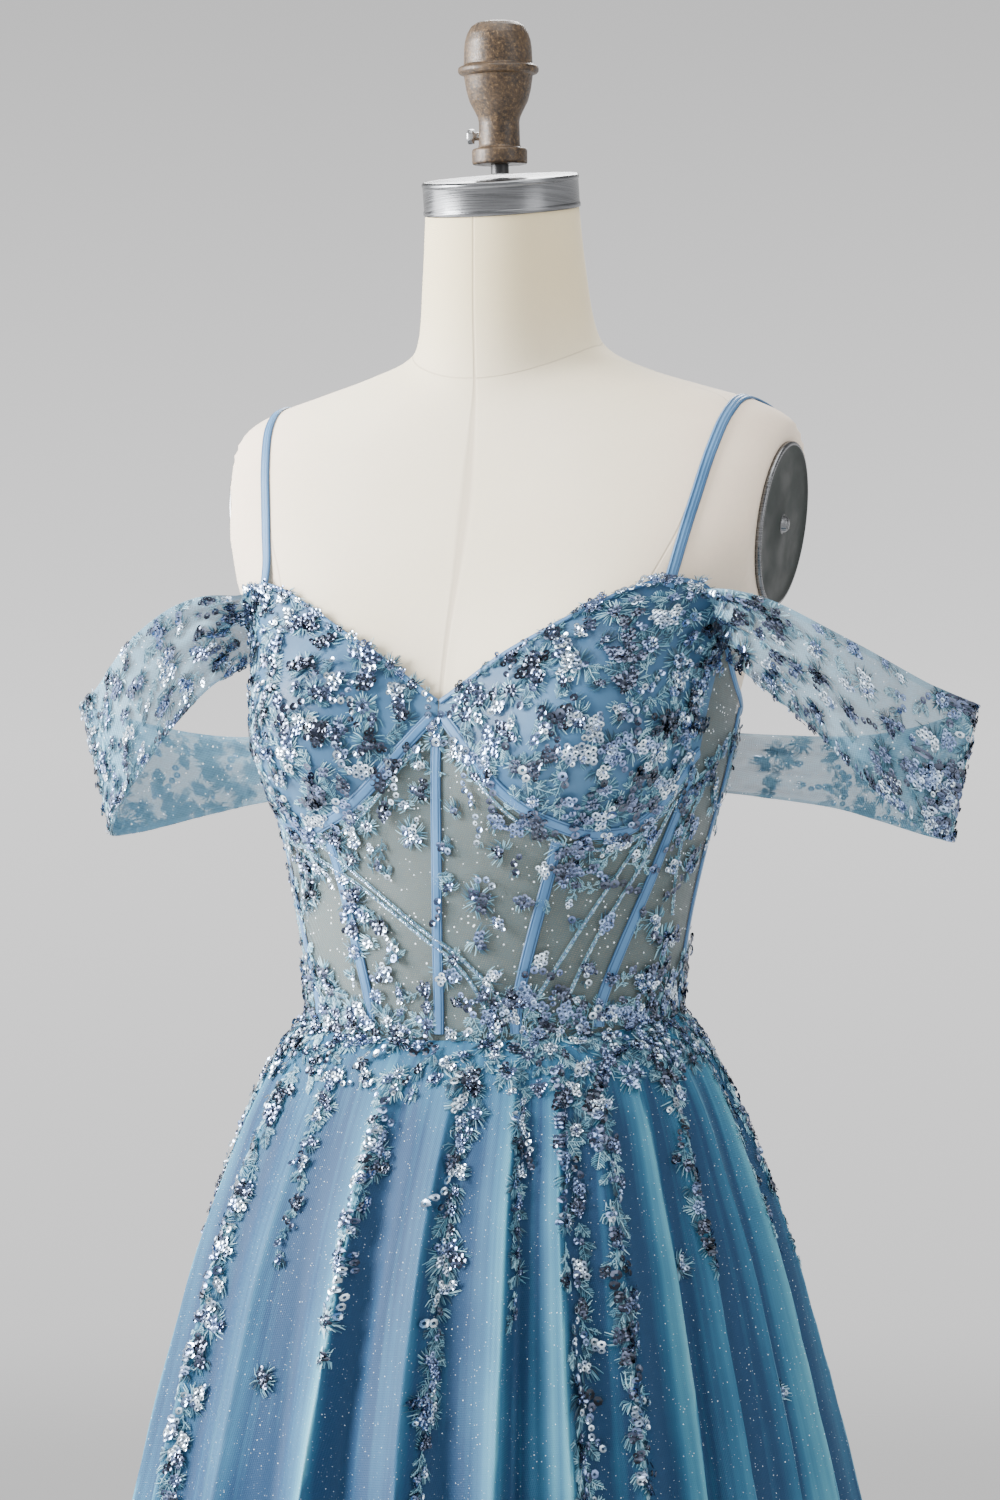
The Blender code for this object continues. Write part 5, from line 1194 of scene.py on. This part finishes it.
def sewOn(name, surface, sewn, steps, replaced=(), under=0.0004):
    # sewn rows: (stitches, sequins), a, b, turn, size; local millimetres go to (a, b) by the surface's metric there
    places = np.array([row[1:] for row in sewn], float)
    a, b = places[:, 0], places[:, 1]
    perA, perB = spanOf(surface, a, b, steps)
    layer = rng.uniform(0, sewing["layers"], len(places))

    def gather(part):
        # the rows of all motifs' stitches (0) or sequins (1), and the motif that each row belongs to
        parts = [row[0][part] for row in sewn]
        return np.concatenate(parts), np.repeat(np.arange(len(parts)), [len(rows) for rows in parts])

    def lay(which, p, q, lift):
        # millimetres in each motif, turned and scaled, to points on the surface
        which = np.broadcast_to(which[:, None, None], p.shape)
        turn, size = np.radians(places[which, 2]), places[which, 3] * 0.001
        onA = a[which] + (p * np.cos(turn) - q * np.sin(turn)) * size / perA[which]
        onB = b[which] + (p * np.sin(turn) + q * np.cos(turn)) * size / perB[which]
        return surface(onA, onB, lift + under + layer[which])

    def repeated(count, quads, corners):
        # the same faces for every row, each on its own points
        return (np.arange(count)[:, None, None] * corners + quads[None]).reshape(-1, 4)

    # a stitch is a ridge: 3 points along by 3 across, narrow at its ends
    rows, which = gather(0)
    stitches = len(rows)
    t, w = np.array([0.0, 0.5, 1.0])[None, :, None], np.array([-0.5, 0.0, 0.5])[None, None, :]
    p0, q0, p1, q1, bow, width, tint = (rows[:, k, None, None] for k in range(7))
    length = np.maximum(np.hypot(p1 - p0, q1 - q0), 1e-6)
    out = w * width * (0.4 + 0.6 * np.sin(np.pi * t)) + bow * np.sin(np.pi * t)
    p = p0 + (p1 - p0) * t - (q1 - q0) / length * out
    q = q0 + (q1 - q0) * t + (p1 - p0) / length * out
    points = lay(which, p, q, sewing["ridge"] * (w == 0) * (0.35 + 0.65 * np.sin(np.pi * t)) + 0 * p)
    tints = np.broadcast_to(np.clip(tint + 0.12 * (t - 0.5), 0, 1), p.shape)
    made = meshOf(name + "Thread", points, repeated(stitches, gridQuads(3, 3), 9), {"tint": tints})
    dress(made, "thread", replaced)
    # a sequin is a dished ring of seven sides round its hole, each a little tipped and lifted clear
    rows, which = gather(1)
    turn = np.linspace(0, 2 * np.pi, 7, endpoint=False)[None, None, :]
    ring = np.array([0.24, 1.0])[None, :, None]
    middleP, middleQ, radius, tint = (rows[:, k, None, None] for k in range(4))
    x, y = radius * ring * np.cos(turn), radius * ring * np.sin(turn)
    tipX, tipY = rng.normal(0, sewing["tip"], (2, len(rows), 1, 1))
    clear = (np.abs(tipX) + np.abs(tipY)) * radius
    lift = sewing["rise"] + 0.001 * (clear + tipX * x + tipY * y + sewing["dish"] * radius * ring**2)
    points = lay(which, middleP + x, middleQ + y, lift)
    values = {"tint": np.broadcast_to(tint, x.shape), "ring": np.broadcast_to(ring, x.shape)}
    made = meshOf(name + "Sequins", points, repeated(len(rows), gridQuads(2, 7, wrap=True), 14), values)
    dress(made, "sequin", [])
    print(name, len(sewn), "motifs", 8 * stitches, "and", 14 * len(rows), "triangles")


def chain(surface, a, b, steps, tone):
    # a braided cord along a path: pairs of slanting stitches every 1.5 mm, anchored one by one
    fine = np.linspace(0, len(a) - 1, 400)
    a, b = np.interp(fine, np.arange(len(a)), a), np.interp(fine, np.arange(len(a)), b)
    points = surface(a, b)
    run = np.concatenate([[0], np.cumsum(np.linalg.norm(np.diff(points, axis=0), axis=-1))])
    at = np.arange(0, run[-1], 0.0015)
    a, b = np.interp(at, run, a), np.interp(at, run, b)
    perA, perB = spanOf(surface, a, b, steps)
    heading = np.degrees(np.arctan2(np.gradient(b) * perB, np.gradient(a) * perA))
    sewn = []
    for x, y, degrees in zip(a, b, heading):
        pair = [strokeRows(-0.9, 1.2 * q, 0.9, 0.1 * q, 0.2 * q, 1.1, tone + rng.uniform(-0.3, 0.3)) for q in (1, -1)]
        bead = np.array([[0.0, 0.0, 0.62, rng.uniform(0.6, 1.0)]])
        sewn.append(((np.concatenate(pair), bead), x, y, degrees, 1.0))
    return sewn


def spots(a0, a1, b0, b1, stepA, stepB, keep=1.0, jitter=0.28):
    # a staggered and jittered net of places, some left out
    rows, columns = np.arange(b0, b1, stepB), np.arange(a0, a1, stepA)
    a, b = np.meshgrid(columns, rows)
    a = a + (np.arange(len(rows)) % 2)[:, None] * stepA / 2 + rng.normal(0, jitter * stepA, a.shape)
    b = b + rng.normal(0, jitter * stepB, b.shape)
    kept = rng.random(a.shape) < keep
    return a[kept], b[kept]


kinds = ("rosette", "petals", "leaf", "brush", "sequins", "string", "sprig")
# how often each kind is sewn in each part of the lace
mixes = {
    "cups": (1.6, 2.4, 2.4, 3.0, 2.8, 1.3, 0.6), "neckline": (0.5, 0.8, 1.4, 2.0, 1.2, 1.6, 0.0),
    "midriff": (1.2, 2.2, 1.8, 1.2, 2.6, 1.6, 1.4), "waist": (2.0, 2.4, 2.0, 2.2, 2.6, 1.6, 0.3),
    "waistPoints": (0.4, 1.2, 2.2, 2.0, 1.6, 1.2, 2.0), "sleeves": (0.8, 2.6, 2.0, 1.6, 2.4, 1.2, 1.0),
    "sleeveFoot": (0.0, 0.6, 2.2, 2.4, 0.8, 0.6, 0.6),
}


def choose(weights):
    # a motif of a kind drawn with these weights
    return motifOf(rng.choice(kinds, p=np.array(weights) / sum(weights)))


# the braids over the midriff: angle, height
braidWays = (
    ((-46, 1.176), (-20, 1.145), (4, 1.100), (14, 1.066)), ((-38, 1.182), (-14, 1.140), (10, 1.094), (22, 1.062)),
    ((60, 1.196), (52, 1.160), (38, 1.110), (24, 1.062)), ((66, 1.205), (60, 1.165), (47, 1.115), (36, 1.066)),
    ((-78, 1.19), (-72, 1.15), (-60, 1.10), (-40, 1.065)), ((84, 1.24), (76, 1.18), (80, 1.13)),
)


def buildBodiceLace():
    # cups: dense; the neckline has a ragged edge of small motifs
    sewn = []
    a, b = spots(-69, 70, 1.185, 1.35, 4.9, 0.0100)
    low, high = edgeZ(cupFoot, a), edgeZ(topEdge, a)
    inside = (b > low - 0.002) & (b < high - 0.005) & (folded(a) < 70)
    for x, y in zip(a[inside], b[inside]):
        sewn.append((choose(mixes["cups"]), x, y, rng.uniform(0, 360), rng.uniform(0.80, 1.15)))
    for x in np.arange(-70, 71, 2.4):
        y = float(edgeZ(topEdge, x)) - rng.uniform(0.000, 0.005)
        climb = float(edgeZ(topEdge, abs(x) + 1) - edgeZ(topEdge, abs(x) - 1)) * np.sign(x)
        slope = math.degrees(math.atan2(climb, 0.0045))
        if abs(x) > 3:
            kind = choose(mixes["neckline"])
            turn = slope + rng.choice([0, 180]) + rng.normal(0, 25)
            sewn.append((kind, x, y, turn, rng.uniform(0.5, 0.78)))
    sewOn("cup", bodiceAt, sewn, onBodice, ["cup_lace_left", "cup_lace_right"], under=0.0006)
    # midriff: dense under the cups and over the waist, sparse between, round the whole body at the sides
    sewn = []
    a, b = spots(-174, 175, 1.055, 1.255, 6.4, 0.0120, 1.0, 0.33)
    low, high = waistAt(a), np.where(folded(a) < 80, edgeZ(cupFoot, a), edgeZ(topEdge, a) - 0.004)
    share = (b - low) / (high - low)
    chance = 0.40 + 0.9 * np.exp(-(((1 - share) / 0.20) ** 2)) + 0.6 * np.exp(-((share / 0.16) ** 2))
    chance -= 0.22 * (folded(a) > 80)
    inside = (share > 0.06) & (share < 1.0) & (rng.random(a.shape) < chance) & (folded(a) < 168)
    for x, y in zip(a[inside], b[inside]):
        sewn.append((choose(mixes["midriff"]), x, y, rng.uniform(0, 360), rng.uniform(0.70, 1.05)))
    sewn.append((motifOf("rosette"), 0.0, 1.243, 0, 0.95))
    for way in braidWays:
        angle, z = np.array(way).T
        steps, fine = np.arange(len(way)), np.linspace(0, len(way) - 1, 60)
        sewn += chain(bodiceAt, through(steps, angle, fine), through(steps, z, fine), onBodice, 0.62)
    angle = np.linspace(3, 68, 60)
    for side in (-1, 1):
        sewn += chain(bodiceAt, side * angle, edgeZ(cupFoot, angle) - 0.006, onBodice, 0.7)
    sewOn("midriff", bodiceAt, sewn, onBodice)


def dressUp(angle, rise, lift=0.0):
    # the dress's surface by the height over the waist seam
    return dressAt(angle, -rise, lift)


# rows of the waist's garland: metres over the seam, degrees between motifs, size
garland = ((0.019, 4.4, 0.72), (0.009, 4.0, 0.88), (0.002, 4.2, 0.85), (-0.006, 4.0, 0.92), (-0.016, 4.4, 0.90))


def buildWaistLace():
    # a garland round the waist seam, deepest at the front, its motifs pointing down
    sewn = []
    for rise, step, size in garland:
        for x in np.arange(-180, 180, step) + rng.uniform(0, 2):
            x = x + rng.normal(0, 1.0)
            near = math.exp(-((abs(x) / 45) ** 2))
            patchy = 0.50 + 0.5 * math.sin(x * 0.21 + 60 * rise) if rise > 0.007 else 0.0
            if rng.random() < patchy * 0.75 + 0.35 * (abs(x) > 80):
                continue
            kind = choose(mixes["waist"])
            y = rise * (1 + 0.4 * near) + rng.normal(0, 0.003)
            sewn.append((kind, x, y, rng.uniform(200, 340), size * rng.uniform(0.8, 1.1)))
    for x in np.arange(-176, 180, 7.0):
        near = math.exp(-((abs(x) / 40) ** 2))
        kind = choose(mixes["waistPoints"])
        x, y = x + rng.normal(0, 1.5), -0.026 - 0.008 * near + rng.normal(0, 0.004)
        sewn.append((kind, x, y, 270 + rng.normal(0, 20), rng.uniform(0.75, 1.05)))
    sewOn("waist", dressUp, sewn, (0.4, 0.002), ["waist_lace_left", "waist_lace_right"])


# fold whose crest it follows, degrees beside it, start and end drop, width in millimetres
sprays = np.array([
    [2, 0, 0.028, 0.430, 17], [4, 0, 0.028, 0.205, 13], [5, 4, 0.028, 0.290, 15], [7, 3, 0.028, 0.430, 22],
    [8, 0, 0.028, 0.400, 19], [10, 0, 0.028, 0.160, 13], [13, 0, 0.028, 0.230, 15], [16, 3, 0.028, 0.330, 16],
    [20, 0, 0.028, 0.240, 15], [23, 3, 0.028, 0.330, 16], [6, 2, 0.028, 0.180, 8], [3, 2, 0.028, 0.150, 8],
    [12, 2, 0.028, 0.170, 8], [18, 2, 0.028, 0.170, 8], [25, 2, 0.028, 0.180, 8], [0, 2, 0.028, 0.200, 9],
])


# single flowers between the sprays: fold, degrees beside it, drop
flowers = ((5, 6, 0.34), (9, 3, 0.15), (3, 5, 0.22), (11, 4, 0.24), (15, 4, 0.20), (19, 5, 0.26), (22, 4, 0.18))


def buildSprays():
    # each runs down a crest with its motifs on both sides in turn, narrower and sparser towards its end
    sewn = []
    for fold, beside, start, end, width in sprays:
        drops = np.arange(start, end, 0.0062)
        share = (drops - start) / (end - start)
        sway = np.cumsum(rng.normal(0, 0.16, len(drops)))
        crest = folds[int(fold), 0]
        angle = crest + beside + sway - slowDrift(np.radians(crest), drops)
        half = width * 0.5 * (1 - 0.55 * share**1.5)
        side = 1
        for x, drop, reach, part in zip(angle, drops, half, share):
            side = -side
            perDegree = 0.0032 * (0.6 + drop / 0.4)
            offset = side * reach * 0.001 * rng.uniform(0.2, 0.75) / perDegree
            if rng.random() < 0.05 + 0.40 * part**2:
                continue
            kind = choose((0.5, 1.2, 2.2, 2.6, 2.2 * (1 - part) + 0.4, 1.0, 0.8))
            turn = 270 + side * rng.uniform(5, 55)
            sewn.append((kind, x + offset, -drop, turn, rng.uniform(0.70, 1.02) * (width / 12) ** 0.35))
    for fold, beside, drop in flowers:
        sewn.append((motifOf("petals"), folds[fold, 0] + beside, -drop, 250, 0.95))
    sewOn("skirt", dressUp, sewn, (0.3, 0.003), [f"skirt_spray_{k:02d}" for k in range(1, 11)])


def buildSleeveLace():
    # motifs all over each drape, and small ones hanging from its lower edge
    for hand in ("left", "right"):
        sewn = []
        s, t = spots(0.03, 0.98, 0.06, 1.0, 0.038, 0.145, 0.92, 0.25)
        for x, y in zip(np.clip(s, 0.03, 0.97), np.clip(t, 0.04, 0.96)):
            kind = choose(mixes["sleeves"])
            sewn.append((kind, x, y, rng.uniform(0, 360), rng.uniform(0.75, 1.05)))
        for x in np.arange(0.14, 0.84, 0.021):
            kind, y = choose(mixes["sleeveFoot"]), rng.uniform(-0.01, 0.05)
            sewn.append((kind, x, y, 270 + rng.normal(0, 45), rng.uniform(0.5, 0.8)))

        def drape(a, b, lift=0.0, hand=hand):
            return sleeveAt(hand, a, b, lift)

        sewOn(f"sleeve{hand.title()}", drape, sewn, (0.01, 0.04), under=0.0006)


buildBodiceLace()
buildWaistLace()
buildSprays()
buildSleeveLace()
print("embroidery sewn")

# studio, camera

studio = {"floor": (0.90, 0.895, 0.89), "azimuth": 22.0, "distance": 3.2, "height": 1.237, "lens": 115.0}


def aim(made, spot, z, at):
    # moves a light or camera over a spot, to look at the dress's axis at this height
    made.location = (*spot[:2], z)
    made.rotation_euler = (Vector((0, 0, at)) - made.location).to_track_quat("-Z", "Y").to_euler()


def buildStudio():
    # a round pale floor that fades out far from the dress, where the plain backdrop of the world takes over
    ring = np.linspace(0, 2 * np.pi, 96, endpoint=False)
    radii = np.array([0.01, 1.0, 3.0, 5.0, 7.6])[:, None]
    grid = np.stack([radii * np.cos(ring), radii * np.sin(ring), 0 * radii * ring], axis=-1)
    floor = gridOf("studioFloor", grid, wrap=True)
    paper, n, shader = newMaterial("studioPaper", Roughness=0.9)
    place = n.place()
    away = n.add("ShaderNodeVectorMath", {"operation": "LENGTH"}, i0=place).outputs["Value"]
    n.into(shader, Alpha=n.spread(away, 2.6, 7.4, 1.0, 0.0))
    fibre = groupNode(n, "drift", Scale=3.0)
    shade = tuple(c * 0.97 for c in studio["floor"])
    n.into(shader, Base_Color=n.mix(fibre.outputs["Value"], shade, studio["floor"]))
    floor.data.materials.append(paper)
    turn = math.radians(studio["azimuth"])
    away = np.array([math.sin(turn), -math.cos(turn), 0.0])
    right = np.array([math.cos(turn), math.sin(turn), 0.0])
    # metres to the camera's right and towards it, height, watts, size
    lights = (
        ("keyLight", -2.8, 0.5, 2.2, 350.0, 1.2),
        ("fillLight", 2.4, 2.1, 2.2, 27.0, 1.6),
        ("topLight", 0.2, 0.4, 3.2, 46.0, 1.6),
        ("backLight", -2.4, -0.5, 1.9, 75.0, 1.4),
        ("rearLight", 0.3, -2.5, 3.3, 90.0, 1.2),
    )
    for name, aside, before, z, power, size in lights:
        lamp = bpy.data.lights.new(name, "AREA")
        lamp.energy, lamp.shape, lamp.size, lamp.size_y = power, "RECTANGLE", size, size * 1.3
        made = placed(name, lamp)
        aim(made, aside * right + before * away, z, 1.2)
    world = bpy.data.worlds.new("studioWorld")
    world.use_nodes = True
    n = Nodes(world.node_tree)
    up = n.add("ShaderNodeSeparateXYZ", Vector=n.add("ShaderNodeTexCoord").outputs["Generated"]).outputs[2]
    height = n.spread(up, -1.0, 1.0, 0.0, 1.0, smooth=False)
    greys = [(0.0, 0.38), (0.32, 0.55), (0.42, 0.95), (0.50, 1.25), (0.575, 0.78), (0.68, 0.34), (1.0, 0.28)]
    tone = n.ramp(height, [(place, (grey, grey * 0.995, grey)) for place, grey in greys])
    n.feed(world.node_tree.nodes["Background"].inputs[0], tone)
    bpy.context.scene.world = world
    lens = bpy.data.cameras.new("camera")
    lens.lens, lens.sensor_width = studio["lens"], 36.0
    camera = placed("camera", lens)
    aim(camera, studio["distance"] * away, studio["height"], studio["height"])
    bpy.context.scene.camera = camera


buildStudio()
print("studio built")
